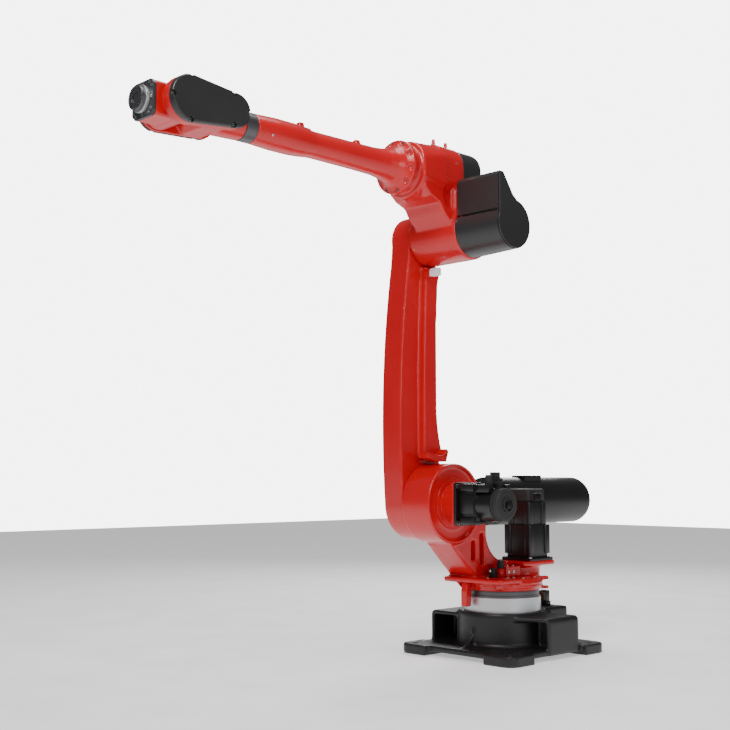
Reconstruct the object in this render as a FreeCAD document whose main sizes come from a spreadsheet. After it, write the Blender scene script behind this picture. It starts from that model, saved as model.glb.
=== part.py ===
import FreeCAD, Part
import Sketcher
import math
import os
import re

from FreeCAD import Placement, Rotation, Vector

# A floor-standing six-axis robot arm with a long reach, in millimetres.
# Origin: the turning axis of the turret, on the floor.  +X robot forward, +Y its left, +Z up.
# Rest pose: lower arm upright, forearm level, tool flange facing forward.

SIZES = {
    # base casting
    "foot_reach_x": 385, "foot_reach_y": 366, "foot_side": 178, "foot_overhang": 28,
    "foot_corner": 55, "plate_thickness": 50, "plate_underside": 20, "anchor_hole": 13.5,
    "anchor_inset": 58, "second_hole": 9, "second_spacing": 78,
    "pedestal_radius": 228, "pedestal_top": 212, "pedestal_rim": 10, "pedestal_skirt": 14,
    "side_box_end": 345, "right_box_front": 165, "left_box_front": 142, "left_box_slant": 80,
    "side_box_rear": -180,
    "side_box_top": 200, "side_box_wall": 20, "side_box_web": 30, "side_box_rim": 22,
    "rear_box_end": -335, "rear_box_half": 166, "rear_box_top": 222,
    "gusset_thickness": 14, "gusset_reach": 100, "gusset_height": 132, "gusset_angle": 45,
    "stop_rear": -316, "stop_length": 44, "stop_y": 19, "stop_width": 52, "stop_height": 74,
    "panel_half": 112, "panel_low": 74, "panel_height": 124, "connector_width": 84,
    # turning joint
    "ring_radius": 196, "ring_bore": 110, "ring_top": 290, "seal_radius": 190, "seal_top": 321.7,
    "running_gap": 0.3, "ring_clearance": 16,
    # turret
    "turret_radius": 200, "deck_top": 386, "deck_thickness": 24, "deck_front": 246,
    "deck_rear": -20, "deck_half": 190, "deck_round": 302, "ledge_step": 7, "ledge_height": 7,
    "shoulder_x": 365, "shoulder_z": 760, "drum_radius": 198, "hub_radius": 186,
    "drum_inner": -177, "drum_outer": 9, "drum_rim": 15, "drum_recess": 20,
    "strut_outer": -6, "strut_foot_front": 194, "strut_foot_rear": -60,
    "strut_waist_x": 112, "strut_waist_z": 637, "strut_hollow_x": 92, "strut_hollow_z": 535,
    "strut_slot": 32, "strut_slot_depth": 40,
    "neck_x": -150, "neck_radius": 102, "platform_top": 458, "platform_thickness": 24,
    "first_motor_x": -205, "first_motor_y": 6, "first_flange": 196, "first_body": 174,
    "first_body_top": 642, "first_upper": 148, "first_motor_top": 765, "first_cap_top": 830,
    "second_mount_radius": 98, "second_flange_y": 87, "second_flange": 210, "second_body": 200,
    "second_barrel": 84, "second_body_end": 205, "second_round_end": 292, "second_motor_end": 339,
    "flange_thickness": 14, "plug_radius": 20, "plug_height": 85,
    "finger_low": 244, "finger_front": 250, "finger_y": -46, "finger_width": 34,
    # spring balancer
    "balancer_y": -246, "balancer_pivot_x": -150, "balancer_radius": 130,
    "balancer_rear": -1013, "balancer_front": -104, "balancer_bore": 58, "balancer_dome": 62,
    "balancer_head": 46, "head_corner": 30, "trunnion_reach": 34, "boss_radius": 34,
    "rod_pin_reach": 150, "rod_radius": 21, "rod_length": 560, "rod_eye": 38, "rod_pin": 16,
    "clevis_gap": 56, "pin_clearance": 0.3, "bracket_wall": 26,
    # lower arm
    "arm_outer": -315, "arm_inner": -177, "arm_rib": -140, "elbow_z": 2110,
    "arm_front_bulge": 200, "arm_front_top": 138, "arm_rear_waist": -34, "arm_web_rear": 66,
    "elbow_radius": 133, "arm_edge_round": 22, "stop_bracket": 40, "stop_bumper": 50,
    "hub_cover_radius": 150, "hub_cover_height": 14,
    # elbow and forearm
    "forearm_z": 2386, "elbow_drum_radius": 140, "elbow_drum_end": 133, "housing_radius": 150,
    "housing_half": 130, "housing_corner": 100, "housing_front": 715, "housing_rear": 420,
    "collar_start": 545, "collar_radius": 146, "spigot_radius": 116, "neck_half": 122,
    "cover_end": 402, "cover_seat": 108, "cover_seat_inset": 4, "cover_radius": 122,
    "cover_root_radius": 131, "cover_plate": 9,
    "rear_cap_x": 262, "rear_cap_inset": 3, "bell_x": 758, "bell_radius": 132.5, "bell_flange": 22,
    "tube_radius": 65, "tube_start": 950, "tube_end": 1673.7,
    "tube_wall": 12, "front_section": 1390, "front_section_radius": 72,
    "band_end": 1734, "band_radius": 66,
    # wrist
    "wrist_x": 2088, "belt_rear_x": 1866, "yoke_bridge_start": 1870, "yoke_outer": 138, "yoke_inner": 92,
    "cover_face": 164, "cover_big": 96, "cover_small": 72, "yoke_bridge_end": 1990,
    "yoke_outer_right": 108, "cover_face_right": 127, "cover_big_right": 80,
    "cover_small_right": 66, "cover_rim": 9,
    "tilt_radius": 78, "tilt_clearance": 5.5, "front_plate_x": 2200, "front_plate_half": 75,
    "front_plate_thickness": 16, "front_chamfer": 20, "journal_radius": 30,
    "flange_x": 2251, "flange_radius": 50, "flange_disc": 18, "flange_neck": 56,
    "tool_bolt_circle": 40, "tool_bolt": 4, "tool_bore": 25, "tool_bore_depth": 6,
}

AXES = {
    "X": Rotation(Vector(0, 1, 0), 90),
    "Y": Rotation(Vector(1, 0, 0), -90),
    "Z": Rotation(),
}

doc = FreeCAD.newDocument("robot_arm")
sheet = doc.addObject("Spreadsheet::Sheet", "sizes")
NODES = []


def fill_sheet():
    """Write each driving size in its own named cell."""
    for row, (alias, value) in enumerate(SIZES.items(), start=1):
        sheet.set("A%d" % row, alias)
        sheet.set("B%d" % row, str(value))
        sheet.setAlias("B%d" % row, alias)
    doc.recompute()


def formula(text):
    """Spell out a formula: each alias gets the sheet's name before it."""
    return re.sub(r"[a-z][a-z_]+", lambda word: "sizes." + word.group() if word.group() in SIZES
                  else word.group(), str(text))


def size(alias):
    """The value of one named cell."""
    return float(sheet.get(alias))


def bind(feature, **formulas):
    """Tie a feature's properties to the sheet."""
    for name, text in formulas.items():
        feature.setExpression(name, formula(text))


def locate(feature, at, turn=None):
    """Tie a feature's place to the sheet, after its turn is set."""
    feature.Placement = Placement(Vector(), turn or Rotation())
    for letter, text in zip("xyz", at):
        feature.setExpression("Placement.Base." + letter, formula(text))
    return feature


def box(name, at, length, width, height, turn=None):
    """A block from its lowest corner."""
    block = doc.addObject("Part::Box", name)
    bind(block, Length=length, Width=width, Height=height)
    return locate(block, at, turn)


def cylinder(name, at, radius, height, axis="Z"):
    """A round bar from the centre of its first face, along +X, +Y or +Z."""
    bar = doc.addObject("Part::Cylinder", name)
    bind(bar, Radius=radius, Height=height)
    return locate(bar, at, AXES[axis])


def cone(name, at, first, last, height, axis="Z"):
    """A tapered bar from the centre of its first face."""
    taper = doc.addObject("Part::Cone", name)
    bind(taper, Radius1=first, Radius2=last, Height=height)
    return locate(taper, at, AXES[axis])


def fuse(name, *pieces):
    """One solid made of several."""
    whole = doc.addObject("Part::MultiFuse", name)
    whole.Shapes = list(pieces)
    whole.Refine = True
    return whole


def cut(name, base, *tools):
    """A solid with others taken away from it."""
    result = doc.addObject("Part::Cut", name)
    result.Base = base
    result.Tool = tools[0] if len(tools) == 1 else fuse(name + "_tools", *tools)
    result.Refine = True
    return result


def common(name, first, second):
    """What two solids share."""
    shared = doc.addObject("Part::MultiCommon", name)
    shared.Shapes = [first, second]
    return shared


def rounded(name, base, radius, pick):
    """A solid with the picked edges rounded to a named radius."""
    doc.recompute()
    edges = [number for number, edge in enumerate(base.Shape.Edges, start=1) if pick(edge)]
    fillet = doc.addObject("Part::Fillet", name)
    fillet.Base = base
    fillet.Edges = [(number, radius, radius) for number in edges]
    return fillet


def upright(edge):
    """True for a straight edge along Z."""
    return isinstance(edge.Curve, Part.Line) and abs(edge.tangentAt(edge.FirstParameter).z) > 0.999


def along(edge, axis):
    """True for a straight edge along the given direction."""
    return isinstance(edge.Curve, Part.Line) and abs(edge.tangentAt(edge.FirstParameter).dot(axis)) > 0.999


def solid_feature(name, shape):
    """A feature that holds a shape made by Part's own functions."""
    feature = doc.addObject("Part::Feature", name)
    feature.Shape = shape
    feature.Placement = Placement()
    return feature


def node(label, feature):
    """Name a finished sub-part."""
    feature.Label = label
    NODES.append((label, feature))
    return feature


def profile_body(name, role, vertices):
    """A body with one closed sketch; each corner is tied to the sheet by two distances."""
    body = doc.addObject("PartDesign::Body", name)
    sketch = body.newObject("Sketcher::SketchObject", name + "_profile")
    plane = [item for item in body.Origin.OriginFeatures if item.Role == role][0]
    sketch.AttachmentSupport = [(plane, "")]
    sketch.MapMode = "FlatFace"
    corners = [(value_of(x), value_of(y)) for x, y in vertices]
    for number, (x, y) in enumerate(corners):
        following = corners[(number + 1) % len(corners)]
        sketch.addGeometry(Part.LineSegment(Vector(x, y, 0), Vector(following[0], following[1], 0)))
    for number in range(len(corners)):
        sketch.addConstraint(Sketcher.Constraint("Coincident", number, 2, (number + 1) % len(corners), 1))
    for number, (x, y) in enumerate(vertices):
        for kind, text, value in (("DistanceX", x, corners[number][0]), ("DistanceY", y, corners[number][1])):
            if str(text) == "0":
                on_axis = -2 if kind == "DistanceX" else -1
                sketch.addConstraint(Sketcher.Constraint("PointOnObject", number, 1, on_axis))
                continue
            index = sketch.addConstraint(Sketcher.Constraint(kind, -1, 1, number, 1, value))
            sketch.setExpression("Constraints[%d]" % index, formula(text))
    return body, sketch


def value_of(text):
    """Work a formula out in numbers, in a spare cell of the sheet."""
    sheet.set("D1", "=" + str(text))
    sheet.recompute()
    return float(sheet.get("D1"))


def turned(name, vertices, at, axis_rotation):
    """A body of revolution: vertices are (distance along the axis, radius)."""
    body, sketch = profile_body(name, "XY_Plane", vertices)
    revolution = body.newObject("PartDesign::Revolution", name + "_turned")
    revolution.Profile = sketch
    revolution.ReferenceAxis = (sketch, ["H_Axis"])
    revolution.Angle = 360
    doc.recompute()
    return locate(body, at, axis_rotation)


FORWARD = Rotation()
UPWARD = Rotation(Vector(0, 1, 0), -90)
RIGHTWARD = Rotation(Vector(0, 0, 1), -90)


def belt_face(first, first_radius, second, second_radius, y):
    """The outline of a belt round two wheels, as a face at one y; centres are (x, z)."""
    start = Vector(first[0], y, first[1])
    end = Vector(second[0], y, second[1])
    span = (end - start).Length
    lean = math.acos((first_radius - second_radius) / span)
    heading = math.atan2(end.z - start.z, end.x - start.x)

    def rim(centre, radius, angle):
        return centre + Vector(math.cos(angle), 0, math.sin(angle)) * radius

    above, below = heading + lean, heading - lean
    edges = [
        Part.LineSegment(rim(start, first_radius, above), rim(end, second_radius, above)).toShape(),
        Part.Arc(rim(end, second_radius, above), rim(end, second_radius, heading),
                 rim(end, second_radius, below)).toShape(),
        Part.LineSegment(rim(end, second_radius, below), rim(start, first_radius, below)).toShape(),
        Part.Arc(rim(start, first_radius, below), rim(start, first_radius, heading + math.pi),
                 rim(start, first_radius, above)).toShape(),
    ]
    return Part.Face(Part.Wire(edges))


def slab(points, start, end):
    """A prism between two values of y, from (x, z) corners."""
    corners = [Vector(x, start, z) for x, z in points]
    return Part.Face(Part.makePolygon(corners + corners[:1])).extrude(Vector(0, end - start, 0))


# ---------------------------------------------------------------- base

def build_base():
    """Raised foot plate on four pads, pedestal, two side boxes, a rear box and gussets."""
    pieces = [box("foot_plate", ("-(foot_reach_x - foot_overhang)", "-(foot_reach_y - foot_overhang)",
                                 "plate_underside"),
                  "2 * (foot_reach_x - foot_overhang)", "2 * (foot_reach_y - foot_overhang)",
                  "plate_thickness - plate_underside")]
    pieces += foot_pads()
    pedestal = cylinder("pedestal", ("0", "0", "plate_underside"), "pedestal_radius",
                        "pedestal_top - plate_underside")
    pieces.append(rounded("pedestal_round", pedestal, size("pedestal_rim"),
                          lambda edge: abs(edge.CenterOfMass.z - size("pedestal_top")) < 1))
    pieces.append(cone("pedestal_skirt", ("0", "0", "plate_thickness"), "pedestal_radius + pedestal_skirt",
                       "pedestal_radius", "pedestal_skirt"))
    pieces.append(side_box("right", -1))
    pieces.append(side_box("left", 1))
    rear = box("rear_box", ("rear_box_end", "-rear_box_half", "plate_underside"), "-rear_box_end",
               "2 * rear_box_half", "rear_box_top - plate_underside")
    pieces.append(rounded("rear_box_round", rear, size("pedestal_rim"),
                          lambda edge: edge.CenterOfMass.x < size("rear_box_end") / 2 - 1 and
                          edge.CenterOfMass.z > size("plate_underside") + 1))
    for number, (angle_sign, front) in enumerate(((1, True), (-1, True), (1, False), (-1, False))):
        pieces.append(gusset("gusset_%d" % number, angle_sign, front))
    whole = fuse("base_blank", *pieces)
    holes = foot_holes()
    holes.append(cylinder("pedestal_bore", ("0", "0", "plate_thickness"), "ring_bore",
                          "pedestal_top - plate_thickness + 1"))
    holes.append(cylinder("ring_space", ("0", "0", "pedestal_top"), "ring_radius + ring_clearance",
                          "rear_box_top - pedestal_top + 1"))
    node("base_casting", cut("base_casting", whole, *holes))


def foot_pads():
    """The four pads that stand on the floor, each with its outer corner rounded."""
    pads = []
    for number, (sx, sy) in enumerate(((1, 1), (1, -1), (-1, 1), (-1, -1))):
        low_x = "foot_reach_x - foot_side" if sx > 0 else "-foot_reach_x"
        low_y = "foot_reach_y - foot_side" if sy > 0 else "-foot_reach_y"
        foot = box("foot_%d" % number, (low_x, low_y, "0"), "foot_side", "foot_side", "plate_thickness")
        corner = Vector(sx * size("foot_reach_x"), sy * size("foot_reach_y"), 0)
        pads.append(rounded("foot_%d_round" % number, foot, size("foot_corner"),
                            lambda edge, c=corner: upright(edge) and
                            (edge.CenterOfMass - c).x ** 2 + (edge.CenterOfMass - c).y ** 2 < 1))
    return pads


def foot_holes():
    """A hole for the anchor bolt and one for the jacking screw in each foot."""
    holes = []
    for sx in (1, -1):
        for sy in (1, -1):
            place_x = "%d * (foot_reach_x - anchor_inset)" % sx
            place_y = "%d * (foot_reach_y - anchor_inset)" % sy
            holes.append(cylinder("anchor_%d_%d" % (sx + 1, sy + 1), (place_x, place_y, "-1"),
                                  "anchor_hole", "plate_thickness + 2"))
            holes.append(cylinder("jack_%d_%d" % (sx + 1, sy + 1),
                                  ("%d * (foot_reach_x - anchor_inset - second_spacing)" % sx, place_y, "-1"),
                                  "second_hole", "plate_thickness + 2"))
    return holes


def side_box(side, sign):
    """An open-ended box beside the pedestal, split by one web across its middle."""
    front = side + "_box_front"
    low = "0" if sign > 0 else "-side_box_end"
    arch = box("side_box_" + side, ("side_box_rear", low, "plate_underside"), front + " - side_box_rear",
               "side_box_end", "side_box_top - plate_underside")
    roof, wall = size("side_box_top"), sign * size("side_box_end")
    arch = rounded("side_box_%s_round" % side, arch, size("side_box_rim"), lambda edge:
                   along(edge, Vector(1, 0, 0)) and abs(edge.CenterOfMass.y - wall) < 1 and
                   abs(edge.CenterOfMass.z - roof) < 1)
    pocket_y = "pedestal_radius - 60" if sign > 0 else "-(side_box_end - side_box_wall)"
    half = "(%s - side_box_rear - side_box_web) / 2" % front
    pockets = [box("pocket_%s_%d" % (side, number), (start, pocket_y, "plate_thickness"), half + " + 1",
                   "side_box_end - side_box_wall - pedestal_radius + 60",
                   "side_box_top - side_box_wall - plate_thickness")
               for number, start in enumerate(("(%s + side_box_rear + side_box_web) / 2" % front,
                                               "side_box_rear - 1"))]
    if sign > 0:
        pockets.append(solid_feature("side_box_slant", slanted_front()))
    return cut("side_box_%s_open" % side, arch, *pockets)


def slanted_front():
    """The wedge that turns the left box's front away from square."""
    front, end, inner = size("left_box_front"), size("side_box_end"), size("pedestal_radius") - 50
    corners = [Vector(front + 1, inner, 0), Vector(front - size("left_box_slant"), end + 1, 0),
               Vector(front + 1, end + 1, 0)]
    return Part.Face(Part.makePolygon(corners + corners[:1])).extrude(Vector(0, 0, size("side_box_top") + 1))


def gusset(name, side, front):
    """A curved rib from the pedestal down to a foot."""
    radius, reach, height = size("pedestal_radius"), size("gusset_reach"), size("gusset_height")
    bottom, half = size("plate_thickness"), size("gusset_thickness") / 2
    inner = radius - 20
    start = Vector(inner, -half, bottom - 5)
    foot = Vector(radius + reach, -half, bottom - 5)
    toe = Vector(radius + reach, -half, bottom + 4)
    middle = Vector(radius + reach * 0.32, -half, bottom + height * 0.28)
    crest = Vector(radius - 2, -half, bottom + height)
    top = Vector(inner, -half, bottom + height)
    wire = Part.Wire([Part.LineSegment(start, foot).toShape(), Part.LineSegment(foot, toe).toShape(),
                      Part.Arc(toe, middle, crest).toShape(), Part.LineSegment(crest, top).toShape(),
                      Part.LineSegment(top, start).toShape()])
    rib = Part.Face(wire).extrude(Vector(0, 2 * half, 0))
    angle = side * (size("gusset_angle") if front else 180 - size("gusset_angle"))
    rib.rotate(Vector(), Vector(0, 0, 1), angle)
    return solid_feature(name, rib)


def build_turning_ring():
    """The bright gear ring and the dark seal band above it."""
    node("bearing_ring", turned("bearing_ring", [
        ("pedestal_top", "ring_bore"), ("pedestal_top", "ring_radius"), ("ring_top", "ring_radius"),
        ("ring_top", "ring_bore")], ("0", "0", "0"), UPWARD))
    node("seal_band", turned("seal_band", [
        ("ring_top", "ring_bore"), ("ring_top", "seal_radius"), ("seal_top", "seal_radius"),
        ("seal_top", "ring_bore")], ("0", "0", "0"), UPWARD))


def build_base_fittings():
    """The fixed stop with its rubber face and the cable panel at the back."""
    node("base_stop", box("base_stop", ("stop_rear", "stop_y", "rear_box_top"), "stop_length", "stop_width",
                          "stop_height"))
    node("base_stop_pad", box("base_stop_pad", ("stop_rear + stop_length", "stop_y + 4", "rear_box_top + 22"),
                              "9", "stop_width - 8", "stop_height - 28"))
    panel = box("panel_blank", ("rear_box_end - 6", "-panel_half", "panel_low"), "6", "2 * panel_half",
                "panel_height")
    node("connector_panel", rounded("connector_panel", panel, 5,
                                    lambda edge: along(edge, Vector(1, 0, 0))))
    for name, y in (("power_connector", "-panel_half + 20"), ("signal_connector", "panel_half - 104")):
        node(name, box(name, ("rear_box_end - 40", y, "panel_low + 30"), "34", "connector_width", "52"))


# ---------------------------------------------------------------- turret

def build_turret():
    """Turntable, deck, leaning strut, shoulder drum and the first motor's platform."""
    table = cylinder("turntable", ("0", "0", "seal_top + running_gap"), "turret_radius",
                     "deck_top - seal_top - running_gap")
    ledges = [cylinder("ledge_%d" % number, ("0", "0", z), "turret_radius + ledge_step", "ledge_height")
              for number, z in enumerate(("seal_top + 19", "seal_top + 37"))]
    deck = common("deck", cylinder("deck_round", ("0", "0", "deck_top - deck_thickness"), "deck_round",
                                   "deck_thickness"),
                  box("deck_square", ("-deck_rear", "-deck_half", "deck_top - deck_thickness"),
                      "deck_rear + deck_front", "2 * deck_half", "deck_thickness"))
    neck = cylinder("neck", ("neck_x", "0", "seal_top + running_gap"), "neck_radius",
                    "platform_top - seal_top - running_gap")
    platform = box("platform", ("first_motor_x - first_flange / 2 - 5", "first_motor_y - first_flange / 2 - 5",
                                "platform_top - platform_thickness"),
                   "first_flange + 10 + 50", "first_flange + 10", "platform_thickness")
    platform = rounded("platform_round", platform, 10, upright)
    drum = cylinder("drum", ("shoulder_x", "drum_inner + running_gap", "shoulder_z"), "drum_radius",
                    "drum_outer - drum_inner - running_gap", "Y")
    strut = solid_feature("strut", strut_shape())
    whole = fuse("turret_blank", table, *ledges, deck, neck, platform, drum, strut)
    recess = cylinder("drum_recess", ("shoulder_x", "drum_outer - drum_recess", "shoulder_z"),
                      "drum_radius - drum_rim", "drum_recess + 1", "Y")
    front_slot = box("strut_slot_front", ("197", "strut_outer - strut_slot_depth", "476"), "strut_slot",
                     "strut_slot_depth + 30", "94")
    rear_slot = box("strut_slot_rear", ("131", "strut_outer - strut_slot_depth", "447"), "strut_slot",
                    "strut_slot_depth + 30", "158")
    node("turret_casting", cut("turret_casting", whole, recess, front_slot, rear_slot))
    build_finger()


def build_finger():
    """The stop finger that hangs from the deck's front edge."""
    under, radius = size("deck_top") - size("deck_thickness"), size("turret_radius")
    finger = slab([(radius + 1, under - 60), (radius + 10, size("finger_low")),
                   (size("finger_front"), size("finger_low")), (size("finger_front"), under - 40),
                   (size("deck_front") - 8, under), (radius + 1, under)],
                  size("finger_y") - size("finger_width") / 2, size("finger_y") + size("finger_width") / 2)
    finger = finger.cut(Part.makeCylinder(radius + size("ledge_step"), size("deck_top")))
    node("turn_stop_finger", solid_feature("turn_stop_finger", finger))


def strut_shape():
    """The leaning web between deck and drum, hollowed behind by one large round."""
    centre = Vector(size("shoulder_x"), 0, size("shoulder_z"))
    radius = size("drum_radius") - 1
    front_angle, rear_angle = math.radians(-84), math.radians(158)
    front = centre + Vector(math.cos(front_angle), 0, math.sin(front_angle)) * radius
    rear = centre + Vector(math.cos(rear_angle), 0, math.sin(rear_angle)) * radius
    deck = size("deck_top") - 4
    foot_front = Vector(size("strut_foot_front"), 0, deck)
    foot_rear = Vector(size("strut_foot_rear"), 0, deck)
    ledge = Vector(size("strut_foot_rear"), 0, size("platform_top"))
    hollow = Vector(size("strut_hollow_x"), 0, size("strut_hollow_z"))
    waist = Vector(size("strut_waist_x"), 0, size("strut_waist_z"))
    shoulder = waist + Vector(8, 0, 63)
    wire = Part.Wire([
        Part.LineSegment(front, foot_front).toShape(), Part.LineSegment(foot_front, foot_rear).toShape(),
        Part.LineSegment(foot_rear, ledge).toShape(), Part.Arc(ledge, hollow, waist).toShape(),
        Part.LineSegment(waist, shoulder).toShape(), Part.LineSegment(shoulder, rear).toShape(),
        Part.LineSegment(rear, centre).toShape(), Part.LineSegment(centre, front).toShape()])
    start = size("drum_inner") + size("running_gap")
    face = Part.Face(wire)
    face.translate(Vector(0, start, 0))
    return face.extrude(Vector(0, size("strut_outer") - start, 0))


def build_second_motor():
    """The shoulder motor on its round mount."""
    recess = "drum_outer - drum_recess"
    mount = fuse("mount_blank",
                 cylinder("mount_round", ("shoulder_x", recess, "shoulder_z"), "second_mount_radius",
                          "second_flange_y - (drum_outer - drum_recess)", "Y"),
                 cylinder("mount_disc", ("shoulder_x", recess, "shoulder_z"), "second_mount_radius + 26",
                          "10", "Y"),
                 box("mount_square", ("shoulder_x - second_flange / 2", "second_flange_y - 16",
                                      "shoulder_z - second_flange / 2"),
                     "second_flange", "16", "second_flange"))
    node("shoulder_motor_mount", mount)
    flange = box("second_flange", ("shoulder_x - second_flange / 2", "second_flange_y",
                                   "shoulder_z - second_flange / 2"),
                 "second_flange", "flange_thickness", "second_flange")
    flange = rounded("second_flange_round", flange, 16, lambda edge: along(edge, Vector(0, 1, 0)))
    block = box("second_block", ("shoulder_x - second_body / 2", "second_flange_y",
                                 "shoulder_z - second_body / 2"),
                "second_body", "second_body_end - second_flange_y", "second_body")
    block = rounded("second_block_round", block, 20, lambda edge: along(edge, Vector(0, 1, 0)))
    barrel = cylinder("second_barrel", ("shoulder_x", "second_body_end - 1", "shoulder_z"),
                      "second_barrel", "second_round_end - second_body_end + 1", "Y")
    node("shoulder_motor", fuse("shoulder_motor", flange, block, barrel))
    cap = cylinder("second_cap", ("shoulder_x", "second_round_end", "shoulder_z"), "second_barrel - 6",
                   "second_motor_end - second_round_end", "Y")
    node("shoulder_motor_cap", rounded("shoulder_motor_cap", cap, 12, lambda edge:
                                       abs(edge.CenterOfMass.y - size("second_motor_end")) < 1))
    plugs = []
    for number, (x, y, height) in enumerate((("shoulder_x - 42", "228", "plug_height"),
                                             ("shoulder_x + 34", "250", "plug_height - 25"))):
        plugs.append(cylinder("second_plug_%d" % number, (x, y, "shoulder_z + second_body / 2 - 30"),
                              "plug_radius", height))
    node("shoulder_motor_plugs", cut("shoulder_motor_plugs", fuse("second_plugs", *plugs),
                                     cylinder("second_plug_seat", ("shoulder_x", "200", "shoulder_z"),
                                              "second_barrel", "100", "Y"),
                                     box("second_plug_block", ("shoulder_x - second_body / 2", "100",
                                                               "shoulder_z - second_body / 2"),
                                         "second_body", "second_body_end - 100", "second_body")))


def build_first_motor():
    """The upright motor that turns the turret: square body, slimmer upper body, rounded cap."""
    x, y = "first_motor_x", "first_motor_y"
    flange = box("first_flange", (x + " - first_flange / 2", y + " - first_flange / 2", "platform_top"),
                 "first_flange", "first_flange", "flange_thickness")
    flange = rounded("first_flange_round", flange, 10, upright)
    block = box("first_block", (x + " - first_body / 2", y + " - first_body / 2", "platform_top"),
                "first_body", "first_body", "first_body_top - platform_top")
    block = rounded("first_block_round", block, 16, upright)
    upper = box("first_upper", (x + " - first_upper / 2", y + " - first_upper / 2", "platform_top"),
                "first_upper", "first_upper", "first_motor_top - platform_top")
    upper = rounded("first_upper_round", upper, 18, upright)
    node("turning_motor", fuse("turning_motor", flange, block, upper))
    cap = box("first_cap", (x + " - first_upper / 2 + 2", y + " - first_upper / 2 + 2", "first_motor_top"),
              "first_upper - 4", "first_upper - 4", "first_cap_top - first_motor_top")
    node("turning_motor_cap", rounded("turning_motor_cap", cap, 20, lambda edge:
                                      edge.CenterOfMass.z > size("first_motor_top") + 1))
    plug = box("turning_motor_plug", (x + " + 4", y + " + first_upper / 2 - 2", "first_motor_top + 2"),
               "58", "30", "42")
    node("turning_motor_plug", plug)


def build_deck_fittings():
    """The limit switch on its red mount, and the balancer's bracket."""
    node("switch_mount", box("switch_mount", ("-36", "48", "deck_top"), "112", "44", "54"))
    node("limit_switch", fuse("limit_switch", box("switch_post", ("76", "48", "deck_top"), "30", "34", "90"),
                              box("switch_block", ("96", "24", "deck_top"), "44", "34", "54")))
    y, x, z = size("balancer_y"), size("balancer_pivot_x"), size("shoulder_z")
    reach, wall = size("balancer_radius") + 9, size("bracket_wall")
    inner, outer = y + reach, y - reach - wall
    front, lean = x + 92, size("strut_waist_x") + 72
    cheek = [(x - 42, z - 44), (front + wall, z - 110), (front + wall, z + 44), (x - 42, z + 44)]
    near = slab([(front, z - 90), (lean, z - 60), (lean, z + 44), (front, z + 44)], inner, inner + wall)
    bar = slab([(front, z - 110), (front + wall, z - 110), (front + wall, z - 74), (front, z - 74)],
               outer, inner + wall)
    far, close = slab(cheek, outer, outer + wall), slab(cheek, inner, inner + wall)
    bore = Part.makeCylinder(size("rod_pin") + size("pin_clearance"), 2 * reach + 2 * wall + 4,
                             Vector(x, outer - 2, z), Vector(0, 1, 0))
    shape = near.fuse([bar, far, close]).removeSplitter().cut([bore, strut_shape()])
    node("balancer_bracket", solid_feature("balancer_bracket", shape))


# ---------------------------------------------------------------- balancer

def build_balancer():
    """The spring cylinder on its two trunnion pins, and the rod that pulls on the lower arm."""
    barrel = cylinder("balancer_barrel", ("balancer_rear", "balancer_y", "shoulder_z"), "balancer_radius",
                      "balancer_front - balancer_rear - balancer_head", "X")
    barrel = rounded("balancer_barrel_round", barrel, size("balancer_dome"),
                     lambda edge: abs(edge.CenterOfMass.x - size("balancer_rear")) < 1)
    bore = cylinder("balancer_bore", ("balancer_rear + 80", "balancer_y", "shoulder_z"), "balancer_bore",
                    "balancer_front - balancer_rear", "X")
    node("balancer_cylinder", cut("balancer_cylinder", barrel, bore))
    head = box("head_block", ("balancer_front - balancer_head", "balancer_y - balancer_radius + 3",
                              "shoulder_z - balancer_radius + 10"),
               "balancer_head", "2 * balancer_radius - 6", "2 * balancer_radius - 20")
    head = rounded("head_round", head, size("head_corner"), lambda edge: along(edge, Vector(1, 0, 0)))
    pins = cylinder("trunnion", ("balancer_pivot_x", "balancer_y - balancer_radius - trunnion_reach", "shoulder_z"),
                    "rod_pin", "2 * (balancer_radius + trunnion_reach)", "Y")
    bosses = cylinder("trunnion_boss", ("balancer_pivot_x", "balancer_y - balancer_radius - 7", "shoulder_z"),
                      "boss_radius", "2 * balancer_radius + 14", "Y")
    head_bore = cylinder("head_bore", ("balancer_rear + 80", "balancer_y", "shoulder_z"), "balancer_bore",
                         "balancer_front - balancer_rear", "X")
    barrel_space = cylinder("barrel_space", ("balancer_rear", "balancer_y", "shoulder_z"),
                            "balancer_radius", "balancer_front - balancer_rear - balancer_head", "X")
    node("balancer_head", cut("balancer_head", fuse("head_whole", head, pins, bosses), head_bore,
                              barrel_space))
    x, y, z = size("balancer_rear") + 371, size("balancer_y"), size("shoulder_z") + size("balancer_radius")
    lug = slab([(x, z - 6), (x + 219, z - 6), (x + 219, z + 10), (x + 84, z + 10), (x + 26, z - 1), (x, z + 10)],
               y - 11, y + 11)
    tab = Part.makeBox(150, 90, 34, Vector(x + 69, y - 20, z - 24))
    lug = lug.fuse(tab).removeSplitter()
    lug = lug.cut(Part.makeCylinder(size("balancer_radius"), 1000, Vector(x - 200, y, size("shoulder_z")),
                                    Vector(1, 0, 0)))
    node("balancer_lug", solid_feature("balancer_lug", lug))
    pin_x = "shoulder_x - rod_pin_reach"
    rod = cylinder("rod_bar", (pin_x + " - rod_length", "balancer_y", "shoulder_z"), "rod_radius",
                   "rod_length", "X")
    eye = cylinder("rod_eye", (pin_x, "balancer_y - clevis_gap / 2 + 6", "shoulder_z"), "rod_eye",
                   "clevis_gap - 12", "Y")
    hole = cylinder("rod_eye_hole", (pin_x, "balancer_y - clevis_gap", "shoulder_z"),
                    "rod_pin + pin_clearance", "2 * clevis_gap", "Y")
    node("balancer_rod", cut("balancer_rod", fuse("rod_whole", rod, eye), hole))


# ---------------------------------------------------------------- lower arm

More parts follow.
